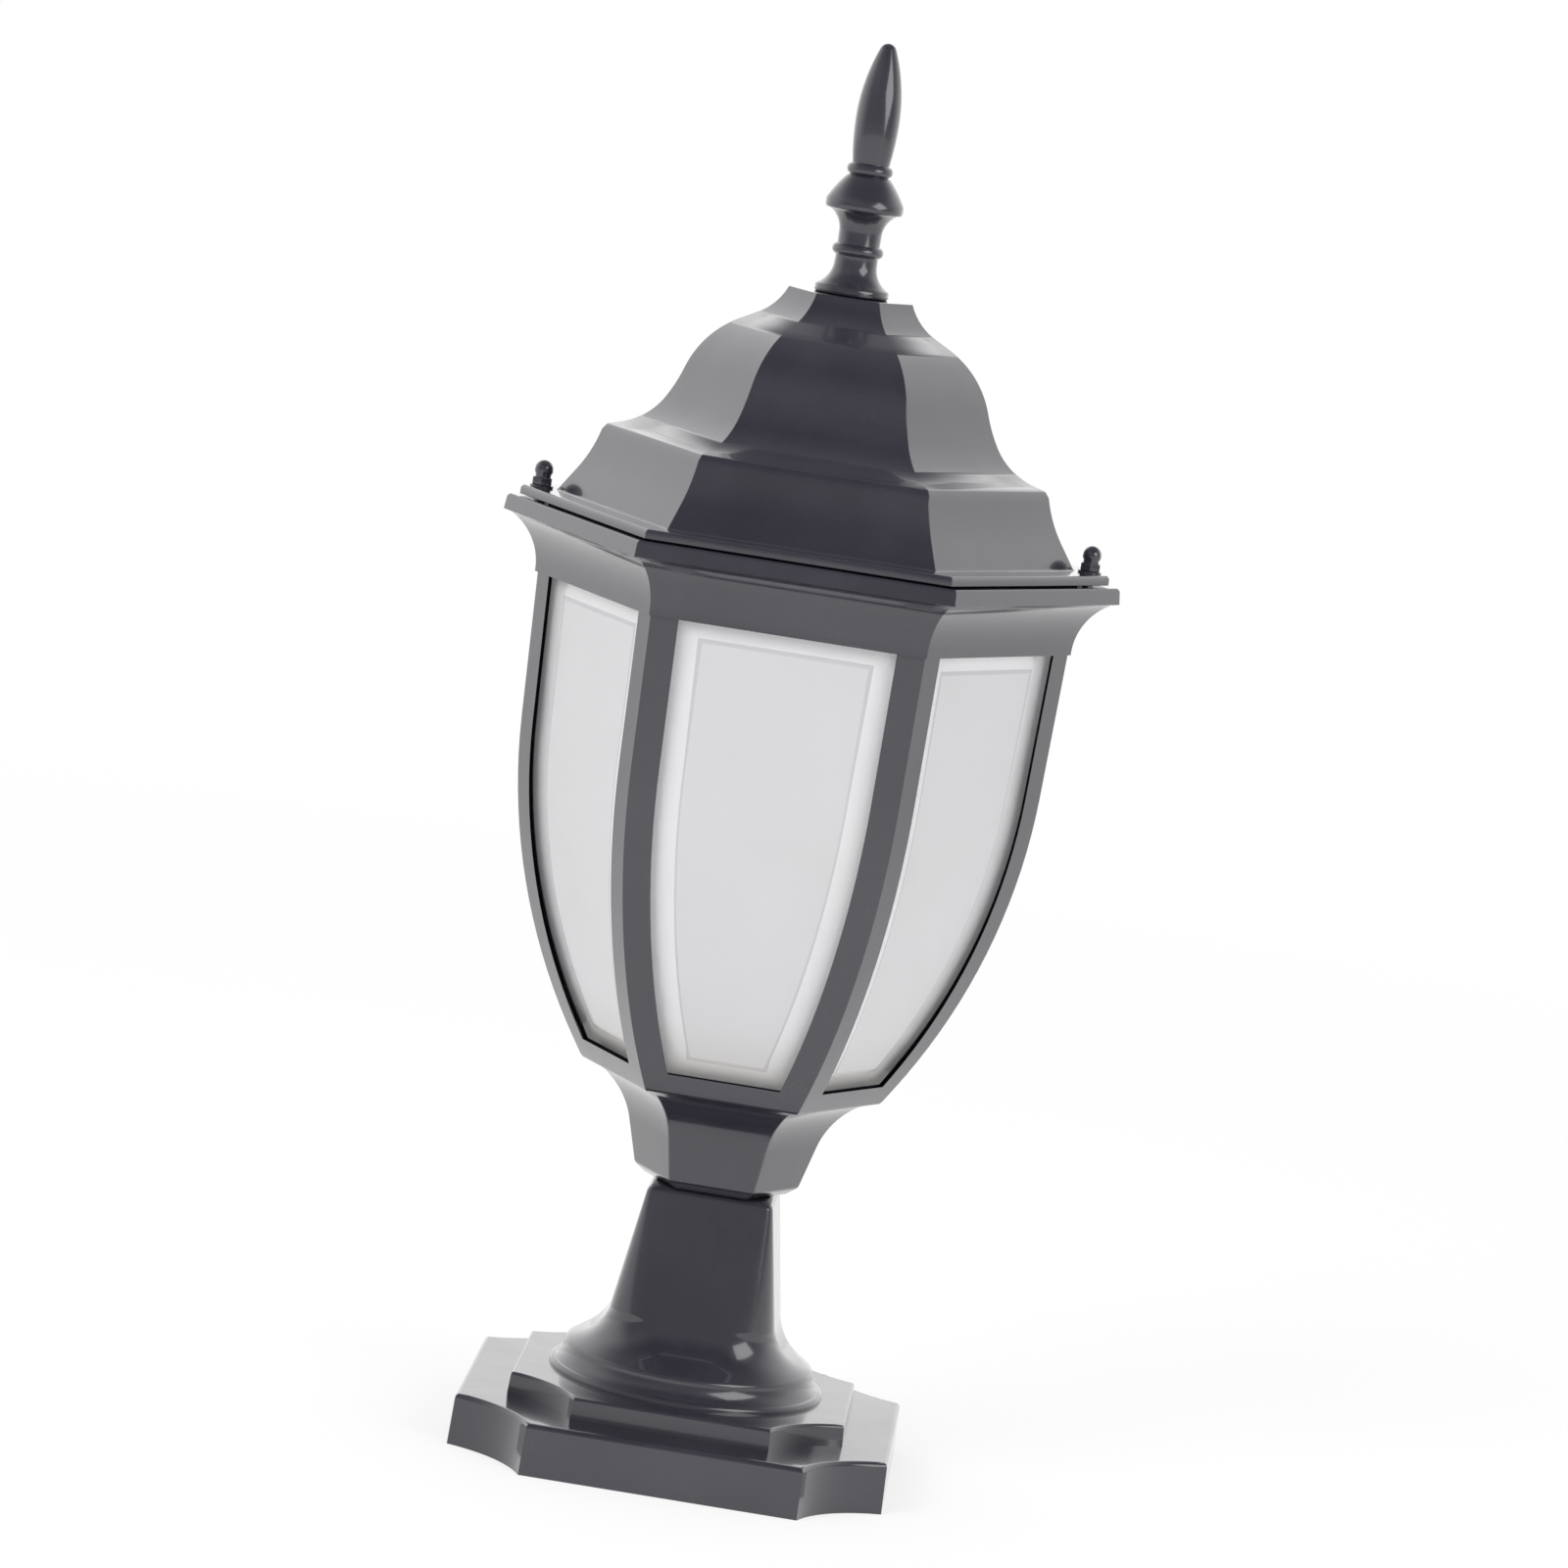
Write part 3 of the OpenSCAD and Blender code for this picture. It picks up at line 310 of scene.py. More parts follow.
def draw_corner(bm, start, side_end, centre, angle, steps):
    """One side and one corner of a four-sided outline, and then its other three."""
    before = set(bm.edges)
    first = bmesh.ops.create_vert(bm, co=start)["vert"]
    end = bmesh.ops.extrude_vert_indiv(bm, verts=first)["verts"]
    bmesh.ops.translate(bm, verts=end, vec=Vector(side_end) - Vector(start))
    bmesh.ops.spin(bm, geom=end, cent=centre, axis=(0, 0, 1), angle=angle, steps=steps)
    edges = new_loop(bm, before)
    verts = list({vert for edge in edges for vert in edge.verts})
    bmesh.ops.spin(bm, geom=verts + edges, cent=(0, 0, 0), axis=(0, 0, 1),
                   angle=radians(270), steps=3, use_duplicate=True)
    drawn = new_loop(bm, before)
    bmesh.ops.remove_doubles(bm, verts=list({v for e in drawn for v in e.verts}), dist=0.001)
    return new_loop(bm, before)


corner_steps = 12


def scalloped_outline(bm, width, hollow, inset, z):
    """A square with a round hollow in each corner, drawn in by an inset. Each hollow is
    struck from a centre outside its corner."""
    centre, arm = width / 2 + hollow_out, hollow + inset
    slip = asin((hollow_out + inset) / arm)
    x, y = width / 2 - inset, centre - arm * cos(slip)
    return draw_corner(bm, (x, -y, z), (x, y, z), (centre, centre, z),
                       -(pi / 2 - 2 * slip), corner_steps)


def rounded_outline(bm, half, corner, z):
    flat = half - corner
    return draw_corner(bm, (half, -flat, z), (half, flat, z), (flat, flat, z),
                       pi / 2, corner_steps)


def round_outline(bm, radius, z):
    """A circle with as many points as the square outlines, so that it can be joined on."""
    return rounded_outline(bm, radius, radius - 0.05, z)


def rounding(radius, steps=4):
    """How far in and how far down a quarter-round edge stands at each of its steps."""
    return [(radius * (1 - cos(pi / 2 * i / steps)), radius * (1 - sin(pi / 2 * i / steps)))
            for i in range(steps + 1)]


def in_turn(edges):
    """The points of an outline in order round the axis."""
    points = {vert for edge in edges for vert in edge.verts}
    return sorted(points, key=lambda point: atan2(point.co.y, point.co.x))


def skin(bm, outlines):
    """Joins each outline to the next, point to point, and the last to the first."""
    rings = [in_turn(outline) for outline in outlines]
    for lower, upper in zip(rings, rings[1:] + rings[:1]):
        for i in range(len(lower)):
            bmesh.ops.contextual_create(bm, geom=[lower[i - 1], lower[i], upper[i], upper[i - 1]])
    bmesh.ops.recalc_face_normals(bm, faces=bm.faces[:])


def round_edges(bm, width, over=35, segments=3):
    """Breaks every edge sharper than an angle, as the mould and the coat do."""
    sharp = [edge for edge in bm.edges if len(edge.link_faces) == 2
             and edge.calc_face_angle() > radians(over)]
    bmesh.ops.bevel(bm, geom=sharp, offset=width, offset_type="OFFSET", segments=segments,
                    profile=0.5, affect="EDGES", material=-1, clamp_overlap=True)


def keep_crisp(bm, over=35):
    """Leaves the corners of a mould that were never rounded with a crisp shade."""
    for edge in bm.edges:
        if len(edge.link_faces) == 2 and edge.calc_face_angle() > radians(over):
            edge.smooth = False


def piece(name, bm, materials, slot, *nodes):
    """Makes the finished mesh, in metres, and lets it stand for its CAD nodes."""
    bmesh.ops.scale(bm, vec=(0.001, 0.001, 0.001), verts=bm.verts[:])
    data = bpy.data.meshes.new(name)
    bm.to_mesh(data)
    bm.free()
    data.shade_smooth()
    for material in materials if isinstance(materials, list) else [materials]:
        data.materials.append(material)
    made = bpy.data.objects.new(name, data)
    bpy.context.scene.collection.objects.link(made)
    even = made.modifiers.new("even shading", "WEIGHTED_NORMAL")
    even.keep_sharp = True
    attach(made, "root")
    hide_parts(*nodes)
    return made


def down(heading):
    """The direction that leans a number of degrees outwards from straight down."""
    return Vector((sin(radians(heading)), 0, -cos(radians(heading))))


def moulding(bm, start, heading, moves):
    """Draws a section in the XZ plane and returns its points in order.
    A move is ("run", length), ("turn", new heading, radius), or ("to", x, z) for a corner."""
    tip = bmesh.ops.create_vert(bm, co=(start[0], 0, start[1]))["vert"]
    points = [tip[0]]
    for kind, *size in moves:
        if kind == "turn":
            new_heading, radius = size
            side = 1 if new_heading > heading else -1
            across = Vector((cos(radians(heading)), 0, sin(radians(heading))))
            before = set(bm.verts)
            steps = max(2, ceil(abs(new_heading - heading) * radius ** 0.35 / 12))
            bmesh.ops.spin(bm, geom=tip, cent=tip[0].co + side * radius * across,
                           axis=(0, -1, 0), angle=radians(new_heading - heading), steps=steps)
            drawn = [vert for vert in bm.verts if vert not in before]
            while drawn:
                follows = [v for v in drawn
                           if any(edge.other_vert(v) == points[-1] for edge in v.link_edges)]
                points.append(follows[0])
                drawn.remove(follows[0])
            tip = [points[-1]]
            heading = new_heading
        else:
            place = tip[0].co.copy()
            tip = bmesh.ops.extrude_vert_indiv(bm, verts=tip)["verts"]
            step = (size[0] * down(heading) if kind == "run"
                    else Vector((size[0], 0, size[1])) - place)
            bmesh.ops.translate(bm, verts=tip, vec=step)
            points.append(tip[0])
    return points


def trace(start, heading, moves):
    """The same line as moulding's, as points only."""
    sketch = bmesh.new()
    found = [point.co.copy() for point in moulding(sketch, start, heading, moves)]
    sketch.free()
    return found


plate_z, foot_z = plinth_h, plinth_h + plate_h
ring_z = foot_z + ring_h
neck_points = trace((neck_w / 2 - shoulder, 0), 90,
                    [("turn", neck_lean, shoulder), ("run", neck_run),
                     ("turn", flare_lean, flare_r), ("run", flare_run)])
flare_w = neck_points[-1].x
foot_points = trace((flare_w, 0), flare_lean,
                    [("turn", 0, flare_edge), ("turn", foot_cove_lean, foot_cove_r)])
flare_z = ring_z - foot_points[-1].z
ring_r = foot_points[-1].x + ring_out
neck_z = flare_z - neck_points[-1].z
neck_foot_w = neck_w / 2 + neck_run * sin(radians(neck_lean))


def neck_corner(half):
    """Corner radius of the neck: small above, and almost a circle at its foot."""
    if half < neck_foot_w:
        share = max(0, (half - neck_w / 2) / (neck_foot_w - neck_w / 2))
        return corner_top + (corner_foot - corner_top) * share
    share = min(1, (half - neck_foot_w) / (flare_w - neck_foot_w))
    return corner_foot + (half - 0.05 - corner_foot) * share ** 0.5


bm = bmesh.new()
outlines = [scalloped_outline(bm, plinth_w, plinth_hollow, 0, 0)]
outlines += [scalloped_outline(bm, plinth_w, plinth_hollow, plinth_lean + into, plinth_h - below)
             for into, below in rounding(plinth_edge)]
outlines += [scalloped_outline(bm, plate_w, plate_hollow, 0, plate_z)]
outlines += [scalloped_outline(bm, plate_w, plate_hollow, plate_lean + into, foot_z - below)
             for into, below in rounding(plate_edge)]
outlines += [round_outline(bm, ring_r, foot_z)]
outlines += [round_outline(bm, ring_r - into, ring_z - below)
             for into, below in rounding(ring_edge, steps=3)]
for point in reversed(foot_points[1:]):
    outlines += [round_outline(bm, point.x, flare_z + point.z)]
for point in reversed(neck_points):
    outlines += [rounded_outline(bm, point.x, neck_corner(point.x), neck_z + point.z)]
outlines += [round_outline(bm, tube_hole, neck_z), round_outline(bm, tube_hole, neck_z - neck_web)]
# The hollow inside follows the neck down, and widens where the flare bends
hollow_ease, bend_high, bend_low = 1, 0.8, 0.2
hollow_r = flare_w - casting_wall + hollow_ease
for radius, z in ((neck_w / 2 - casting_wall, neck_z - neck_web),
                  (neck_foot_w - casting_wall, flare_z + flare_r * bend_high),
                  (neck_foot_w + hollow_ease, flare_z + flare_r * bend_low),
                  (hollow_r, flare_z - casting_wall + hollow_ease),
                  (hollow_r, foot_z - casting_wall)):
    outlines += [round_outline(bm, radius, z)]
for width, hollow, z in ((plate_w, plate_hollow, foot_z - casting_wall),
                         (plate_w, plate_hollow, plinth_h - casting_wall),
                         (plinth_w, plinth_hollow, plinth_h - casting_wall),
                         (plinth_w, plinth_hollow, 0)):
    outlines += [scalloped_outline(bm, width, hollow, casting_wall, z)]
skin(bm, outlines)
keep_crisp(bm)
piece("pedestal_casting", bm, enamel, "painted_casting", "pedestal")

# Cup. A six-sided aluminium casting between neck and lantern, held by the tie tube, with
# a hollow side, a straight lower side and a small bevel underneath.
cage_r, cage_lean, cage_run = 97.9, 2, 53.5
cage_bend_r, cage_foot_lean, cage_foot_run = 226, 33, 6.3
foot_edge, cup_step, cup_wall, cup_edge = 1, 3.4, 3.5, 0.8
cup_cove_r, cup_top_lean, cup_low_lean, cup_low_run = 30, 68, 15.5, 16.5
cup_bevel, cup_bevel_slant, cup_inner_run, cup_floor_in = 3.2, 1.4, 8, 6.5


def inward(start, heading, wall):
    """Where the inner line of a wall starts, on the corner, for a wall that thick on a flat."""
    wall = wall / cos(pi / 6)
    return (start[0] - wall * cos(radians(heading)), start[1] - wall * sin(radians(heading)))


def close_up(bm, first, last):
    """Joins two ends of a section by a straight line."""
    bmesh.ops.contextual_create(bm, geom=[first, last])


def turn_round(bm, steps):
    """Turns a section round the Z axis into a closed body."""
    bmesh.ops.spin(bm, geom=bm.verts[:] + bm.edges[:], cent=(0, 0, 0), axis=(0, 0, 1),
                   angle=2 * pi, steps=steps, use_merge=True)
    bmesh.ops.remove_doubles(bm, verts=bm.verts[:], dist=0.001)
    bmesh.ops.dissolve_degenerate(bm, dist=0.001, edges=bm.edges[:])
    bmesh.ops.recalc_face_normals(bm, faces=bm.faces[:])


cage_moves = [("run", cage_run), ("turn", -cage_foot_lean, cage_bend_r), ("run", cage_foot_run)]
cage_end = trace((cage_r, 0), -cage_lean, cage_moves)[-1]
cup_moves = [("turn", -cup_low_lean, cup_cove_r), ("run", cup_low_run)]
cup_top_r = cage_end.x - cup_step
cup_end = trace((cup_top_r, 0), -cup_top_lean, cup_moves)[-1]
cup_top_z = neck_z + cup_bevel - cup_end.z

bm = bmesh.new()
outer = moulding(bm, (cup_top_r, cup_top_z), -cup_top_lean, cup_moves + [
    ("to", cup_end.x - cup_bevel * cup_bevel_slant, neck_z), ("to", tube_hole, neck_z)])
inner = moulding(bm, inward((cup_top_r, cup_top_z), -cup_top_lean, cup_wall), -cup_top_lean, [
    ("turn", -cup_low_lean, cup_cove_r + cup_wall / cos(pi / 6)), ("run", cup_inner_run),
    ("to", cup_end.x - cup_floor_in, neck_z + cup_bevel + cup_wall),
    ("to", tube_hole, neck_z + cup_bevel + cup_wall)])
close_up(bm, outer[0], inner[0])
close_up(bm, outer[-1], inner[-1])
turn_round(bm, 6)
round_edges(bm, cup_edge)
piece("cup_casting", bm, enamel, "painted_casting", "gallery_cup")

# Cage. One casting again: a floor, a ring, six bent angle ribs, and the crown with its
# hollow moulding and its rim, on which the roof is bolted.
cage_wall, rib_leaf, bar_h = 3, 10, 7
crown_step, crown_band, cove_r, cove_lean, rim_out, rim_h = 1.1, 0.8, 22, 61, 3.3, 5.8
rim_under, rim_edge, rim_draft, cage_edge = 0.9, 1, 0.6, 0.6
floor_t, floor_play = 4, 0.2
cage_z = cup_top_z
cage_top_z = cage_z + foot_edge - cage_end.z
crown_r = cage_r + crown_step
cove_out = cove_r * (1 - cos(radians(cove_lean)))
cove_top_r = crown_r + cove_out
rim_z = cage_top_z + crown_band + cove_r * sin(radians(cove_lean)) + rim_under
crown_z = rim_z + rim_h
rim_r = cove_top_r + rim_out
crown_in_r = inward((cage_r, cage_top_z), -cage_lean, cage_wall)[0]

wall = cage_wall / cos(pi / 6)
floor_z, floor_hole = cage_z + floor_t, tube_hole + floor_play
bm = bmesh.new()
moulding(bm, (crown_in_r, crown_z), 90, [
    ("to", rim_r - rim_edge - rim_draft, crown_z), ("to", rim_r - rim_draft, crown_z - rim_edge),
    ("to", rim_r, rim_z), ("to", cove_top_r, rim_z - rim_under)])
moulding(bm, (cove_top_r, rim_z - rim_under), -cove_lean, [
    ("turn", 0, cove_r), ("to", crown_r, cage_top_z), ("to", cage_r, cage_top_z)])
side = moulding(bm, (cage_r, cage_top_z), -cage_lean, cage_moves)
moulding(bm, tuple(side[-1].co.xz), 0, [
    ("to", cage_end.x - foot_edge, cage_z), ("to", floor_hole, cage_z),
    ("to", floor_hole, floor_z)])
# The inner line, which ends on the floor
inner = moulding(bm, inward((cage_r, cage_top_z), -cage_lean, cage_wall), -cage_lean, [
    ("run", cage_run), ("turn", -cage_foot_lean, cage_bend_r - wall), ("run", cage_foot_run)])
below = [point for point in inner if point.co.z < floor_z]
last = [point for point in inner if point.co.z > floor_z][-1]
bmesh.ops.delete(bm, geom=below, context="VERTS")
slope = tan(radians(cage_foot_lean))
moulding(bm, tuple(last.co.xz), 0, [
    ("to", last.co.x - (last.co.z - floor_z) * slope, floor_z), ("to", floor_hole, floor_z)])
moulding(bm, (crown_in_r, crown_z), 0, [("to", crown_in_r, cage_top_z)])
bmesh.ops.remove_doubles(bm, verts=bm.verts[:], dist=0.001)
turn_round(bm, 6)
leaf, relief, hair = rib_leaf * cos(pi / 6), 4.5, 0.005
window_z = cage_z + foot_edge + bar_h


def across_corner(k, point):
    """Distance of a point from the upright plane through a corner of the hexagon."""
    return point.x * -sin(pi / 3 * k) + point.y * cos(pi / 3 * k)


for z in (window_z, cage_top_z - hair):
    bmesh.ops.bisect_plane(bm, geom=bm.verts[:] + bm.edges[:] + bm.faces[:],
                           plane_co=(0, 0, z), plane_no=(0, 0, 1))


def window_band(outer_skin):
    """The faces at the windows' height on one skin, told by the way they face."""
    return [face for face in bm.faces
            if window_z < face.calc_center_median().z < cage_top_z - 2 * hair
            and (face.normal.xy.dot(face.calc_center_median().xy) > 0) == outer_skin]


# The windows are cut through both skins, a little wider behind, where the glass lies. The
# two rims of each window still want joining.
for outer_skin, reach in ((True, leaf), (False, leaf - relief)):
    for k in range(3):
        normal = Vector((-sin(pi / 3 * k), cos(pi / 3 * k), 0))
        for offset in (-reach, reach):
            cut = window_band(outer_skin)
            cut += list({edge for face in cut for edge in face.edges})
            cut += list({vert for edge in cut if isinstance(edge, bmesh.types.BMEdge)
                         for vert in edge.verts})
            bmesh.ops.bisect_plane(bm, geom=cut, plane_co=normal * offset, plane_no=normal)
    bmesh.ops.delete(bm, context="FACES", geom=[
        face for face in window_band(outer_skin)
        if min(abs(across_corner(k, face.calc_center_median())) for k in range(3)) > reach])
bmesh.ops.recalc_face_normals(bm, faces=bm.faces[:])
round_edges(bm, cage_edge)
piece("cage_casting", bm, enamel, "painted_casting", "lantern_cage")

# Glass. Six bent panels of satin glass with a ground bevel all round, set from inside
# behind the ribs, and held to the crown by spring clips.
glass_t, bevel_drop, bevel_w, glass_tuck, glass_play = 4.5, 0.9, 13, 6.5, 0.3
satin_group, taken, given = group_tree(
    "satin glass", [("Colour", "NodeSocketColor", (0.8, 0.82, 0.82, 1)),
                    ("Warm", "NodeSocketColor", (0.75, 0.75, 0.72, 1))],
    [("Colour", "NodeSocketColor"), ("Roughness", "NodeSocketFloat"),
     ("Height", "NodeSocketFloat")])
where = satin_group.nodes.new("ShaderNodeTexCoord").outputs["Object"]
clouds = noise(satin_group, where, 14, 3)
grit = noise(satin_group, where, 900, 2)
level = satin_group.nodes.new("ShaderNodeSeparateXYZ")
satin_group.links.new(where, level.inputs[0])
# Painted shade: over the lowest part of each panel, by the sill, the glass colour is mixed towards
# a darker warm grey
painted_shade_at_foot = spread(satin_group, level.outputs["Z"], 0.144, 0.170, 0.8, 0)
clean = colour_mix(satin_group, spread(satin_group, clouds, 0.3, 0.7, 0, 1),
                   taken.outputs["Colour"], taken.outputs["Warm"])
satin_group.links.new(colour_mix(satin_group, painted_shade_at_foot, clean, (0.47, 0.45, 0.42, 1)),
                      given.inputs["Colour"])
satin_group.links.new(spread(satin_group, clouds, 0.3, 0.7, 0.42, 0.5), given.inputs["Roughness"])
satin_group.links.new(grit, given.inputs["Height"])
# Painted light: the field and the bevel both glow a faint white of their own, which lightens the
# glass where it lies in shade behind the ribs and under the crown
satin = finish("satin glass", satin_group,
               {"Colour": (0.56, 0.56, 0.58, 1), "Warm": (0.53, 0.525, 0.535, 1)},
               {"Transmission Weight": 0.15, "IOR": 1.5, "Coat Weight": 0.6,
                "Coat Roughness": 0.08, "Subsurface Weight": 0.7, "Subsurface Scale": 0.006,
                "Subsurface Radius": (1, 1, 1), "Emission Color": (1, 1, 1, 1),
                "Emission Strength": 0.1}, 0.0001, 0.3)
bevel_glass = finish("ground bevel", satin_group,
                     {"Colour": (0.67, 0.67, 0.69, 1), "Warm": (0.64, 0.64, 0.65, 1)},
                     {"Transmission Weight": 0.2, "IOR": 1.5, "Coat Weight": 1.0,
                      "Coat Roughness": 0.03, "Subsurface Weight": 0.8,
                      "Subsurface Scale": 0.008, "Subsurface Radius": (1, 1, 1),
                      "Emission Color": (1, 1, 1, 1), "Emission Strength": 0.12}, 0.0001, 0.15)
# Painted shade: the arris between field and bevel is a darker grey than either, which draws a dark
# line round the field
arris_glass = finish("arris of the bevel", satin_group,
                     {"Colour": (0.54, 0.54, 0.56, 1), "Warm": (0.56, 0.56, 0.58, 1)},
                     {"Transmission Weight": 0.2, "IOR": 1.5, "Coat Weight": 1.0,
                      "Coat Roughness": 0.03}, 0.0001, 0.1)

panels = {"front": -90, "front_right": -30, "back_right": 30, "back": 90, "back_left": 150,
          "front_left": 210}
panel_gap, arris_w, corner_reach, hair = 0.4, 0.8, 8, 0.01
side_bevel = bevel_w + glass_t * tan(pi / 6) + glass_play
thick = glass_t - bevel_drop
face_in = cage_wall + glass_play
start = inward((cage_r, cage_top_z), -cage_lean, face_in)
up_top = Vector((sin(radians(cage_lean)), 0, cos(radians(cage_lean))))
down_foot = Vector((-sin(radians(cage_foot_lean)), 0, -cos(radians(cage_foot_lean))))
low = floor_z + bevel_w * cos(radians(cage_foot_lean))
high = cage_top_z + glass_tuck - bevel_w


def face_outwards(bm):
    """Turns every face of the sheet to +X, before the sheet gets its thickness."""
    bmesh.ops.recalc_face_normals(bm, faces=bm.faces[:])
    if bm.faces[0].normal.x < 0:
        bmesh.ops.reverse_faces(bm, faces=bm.faces[:])


def bent_sheet(bm):
    """One flat side of the lantern's line, as wide as the corners let it, facing +X."""
    side = moulding(bm, start, -cage_lean, [
        ("run", cage_run), ("turn", -cage_foot_lean, cage_bend_r - face_in / cos(pi / 6)),
        ("run", cage_foot_run)])
    moulding(bm, tuple((side[0].co + glass_tuck * up_top).xz), 0, [("to", *start)])
    bmesh.ops.remove_doubles(bm, verts=bm.verts[:], dist=0.001)
    bmesh.ops.rotate(bm, verts=bm.verts[:], cent=(0, 0, 0),
                     matrix=Matrix.Rotation(-pi / 6, 3, "Z"))
    bmesh.ops.spin(bm, geom=bm.verts[:] + bm.edges[:], cent=(0, 0, 0), axis=(0, 0, 1),
                   angle=pi / 3, steps=1)
    face_outwards(bm)


def trim_to_field(bm):
    """Cuts the sheet down to the raised field within the bevel."""
    trims = [((0, 0, low), (0, 0, -1)), ((0, 0, high), (0, 0, 1))]
    for way in (-1, 1):
        outwards = Vector((-sin(pi / 6), way * cos(pi / 6), 0))
        trims.append((outwards * -((side_bevel + panel_gap) * cos(pi / 6)), outwards))
    for point, normal in trims:
        bmesh.ops.bisect_plane(bm, geom=bm.verts[:] + bm.edges[:] + bm.faces[:],
                               plane_co=point, plane_no=normal, clear_outer=True)


def draw_bevel(bm):
    """Draws the field's edge out and back as the bevel, and breaks the line between them."""
    border = [edge for edge in bm.edges if len(edge.link_faces) == 1]
    drawn = [made for made in bmesh.ops.extrude_edge_only(bm, edges=border)["geom"]
             if isinstance(made, bmesh.types.BMVert)]
    for vert in drawn:
        at_foot, at_top = vert.co.z < low + hair, vert.co.z > high - hair
        at_side = abs(vert.co.y) > corner_reach and any(
            abs(edge.other_vert(vert).co.z - vert.co.z) > 0.5 for edge in vert.link_edges)
        shift = Vector((-bevel_drop, 0, 0))
        if at_side:
            shift.y = side_bevel if vert.co.y > 0 else -side_bevel
        shift += bevel_w * (down_foot if at_foot else up_top if at_top else Vector())
        vert.co += shift
    for face in {face for vert in drawn for face in vert.link_faces}:
        face.material_index = 1
    bmesh.ops.bevel(bm, geom=border, offset=arris_w, offset_type="OFFSET", segments=2,
                    profile=0.5, affect="EDGES", material=2, clamp_overlap=True)
    face_outwards(bm)


def mitre(bm):
    """Grinds the side edges behind, so that two panels meet behind a rib."""
    for vert in bm.verts:
        if vert.co.x * sin(pi / 6) - abs(vert.co.y) * cos(pi / 6) < 0:
            vert.co.y -= (1 if vert.co.y > 0 else -1) * thick * tan(pi / 6)


for panel, turn in panels.items():
    bm = bmesh.new()
    bent_sheet(bm)
    trim_to_field(bm)
    draw_bevel(bm)
    bmesh.ops.solidify(bm, geom=bm.faces[:], thickness=thick)
    mitre(bm)
    bmesh.ops.rotate(bm, verts=bm.verts[:], cent=(0, 0, 0),
                     matrix=Matrix.Rotation(radians(turn), 3, "Z"))
    piece("glass_panel_" + panel, bm, [satin, bevel_glass, arris_glass], "bevelled_glass",
          "glass_" + panel)

# Roof. A six-sided aluminium casting: a flat cap, a bell that sweeps out to a nosing, an
# eave below it, and a flange that lies on the crown's rim.
roof_wall, nosing_h, nose_out, gasket_gap = 3, 1.8, 1.4, 0.5
cap_t, stud_hole, roof_edge = 4.5, 3.2, 0.7
flange_in, flange_w, flange_t, flange_edge = 5, 13.8, 3.5, 1
eave_fillet, step_fillet, bell_lean, eave_lean = 0.8, 0.4, 22, 14
bell = [("turn", 62, 22), ("run", 6.5), ("turn", 18, 36), ("turn", 30, 60), ("turn", 74, 26),
        ("run", 4.4)]
eave = [("turn", 34, 50), ("run", 9.6)]
flange_r = rim_r - flange_in
roof_z = crown_z + gasket_gap
flange_z = roof_z + flange_t
bell_end = trace((0, 0), bell_lean, bell)[-1]
eave_end = trace((0, 0), eave_lean, eave)[-1]
eave_top_r = flange_r - flange_w - eave_end.x
nose_r = eave_top_r - nose_out
cap_r = nose_r - step_fillet - bell_end.x
eave_z = flange_z + eave_fillet - eave_end.z
step_z = eave_z + nosing_h
cap_z = step_z + step_fillet - bell_end.z


def wider(moves, heading, wall):
    """The inner line's moves: a bend that turns outwards grows by the wall, and one that
    turns inwards shrinks."""
    made = []
    for move in moves:
        if move[0] == "turn":
            made.append(("turn", move[1], move[2] + (wall if move[1] > heading else -wall)))
            heading = move[1]
        else:
            made.append(move)
    return made


wall = roof_wall / cos(pi / 6)
bm = bmesh.new()
moulding(bm, (stud_hole, cap_z), 90, [("to", cap_r, cap_z)])
moulding(bm, (cap_r, cap_z), bell_lean, bell + [
    ("to", nose_r, step_z), ("to", eave_top_r, eave_z)])
eave_inner = moulding(bm, inward((eave_top_r, eave_z), eave_lean, roof_wall), eave_lean,
                      wider(eave, eave_lean, wall))
moulding(bm, (eave_top_r, eave_z), eave_lean, eave + [
    ("to", flange_r - flange_w + eave_fillet, flange_z), ("to", flange_r - flange_edge, flange_z),
    ("to", flange_r, flange_z - flange_edge), ("to", flange_r, roof_z),
    ("to", eave_inner[-1].co.x, roof_z), ("to", *eave_inner[-1].co.xz)])
bell_inner = moulding(bm, inward((cap_r, cap_z), bell_lean, roof_wall), bell_lean,
                      wider(bell, bell_lean, wall))
close_up(bm, bell_inner[-1], eave_inner[0])
under_cap = [point for point in bell_inner if point.co.z < cap_z - cap_t]
bmesh.ops.delete(bm, geom=[p for p in bell_inner if p not in under_cap], context="VERTS")
moulding(bm, (stud_hole, cap_z), 0, [("to", stud_hole, cap_z - cap_t),
                                     ("to", *under_cap[0].co.xz)])
bmesh.ops.remove_doubles(bm, verts=bm.verts[:], dist=0.001)
turn_round(bm, 6)
round_edges(bm, roof_edge)
piece("roof_casting", bm, enamel, "painted_casting", "roof")

# Finial. Turned and cast solid, with a flared foot, a bead, a bell, a second bead and a
# long bud, screwed down on the roof's cap by a stud.
foot_r, stem_r, bell_r, bud_r, bead_r, tip_r = 13.6, 7.9, 14.3, 8.1, 2.2, 3.2
foot_h, foot_edge_w, collar_h, collar_r, collar_lean = 2.6, 0.6, 3.2, 9.5, 62
stem_h, bell_h, bud_gap, bud_low_h, upper_stem_in = 19.3, 12.4, 4.8, 15.6, 1
bell_top_lean, bell_low_lean, under_lean = 42, 27, 68
lip_h, lip_edge, lip_w = 1.2, 0.4, 1
bead_lean, bead_sink, upper_bead_h, lower_bead_h = 75, 0.3, 2.4, 4.8
tip_lean, bud_lean = 22.3, 9
stem_z = cap_z + collar_h + collar_r * sin(radians(collar_lean))
bell_z = stem_z + stem_h
bell_top = bell_z + bell_h
bud_z = bell_top + bud_gap
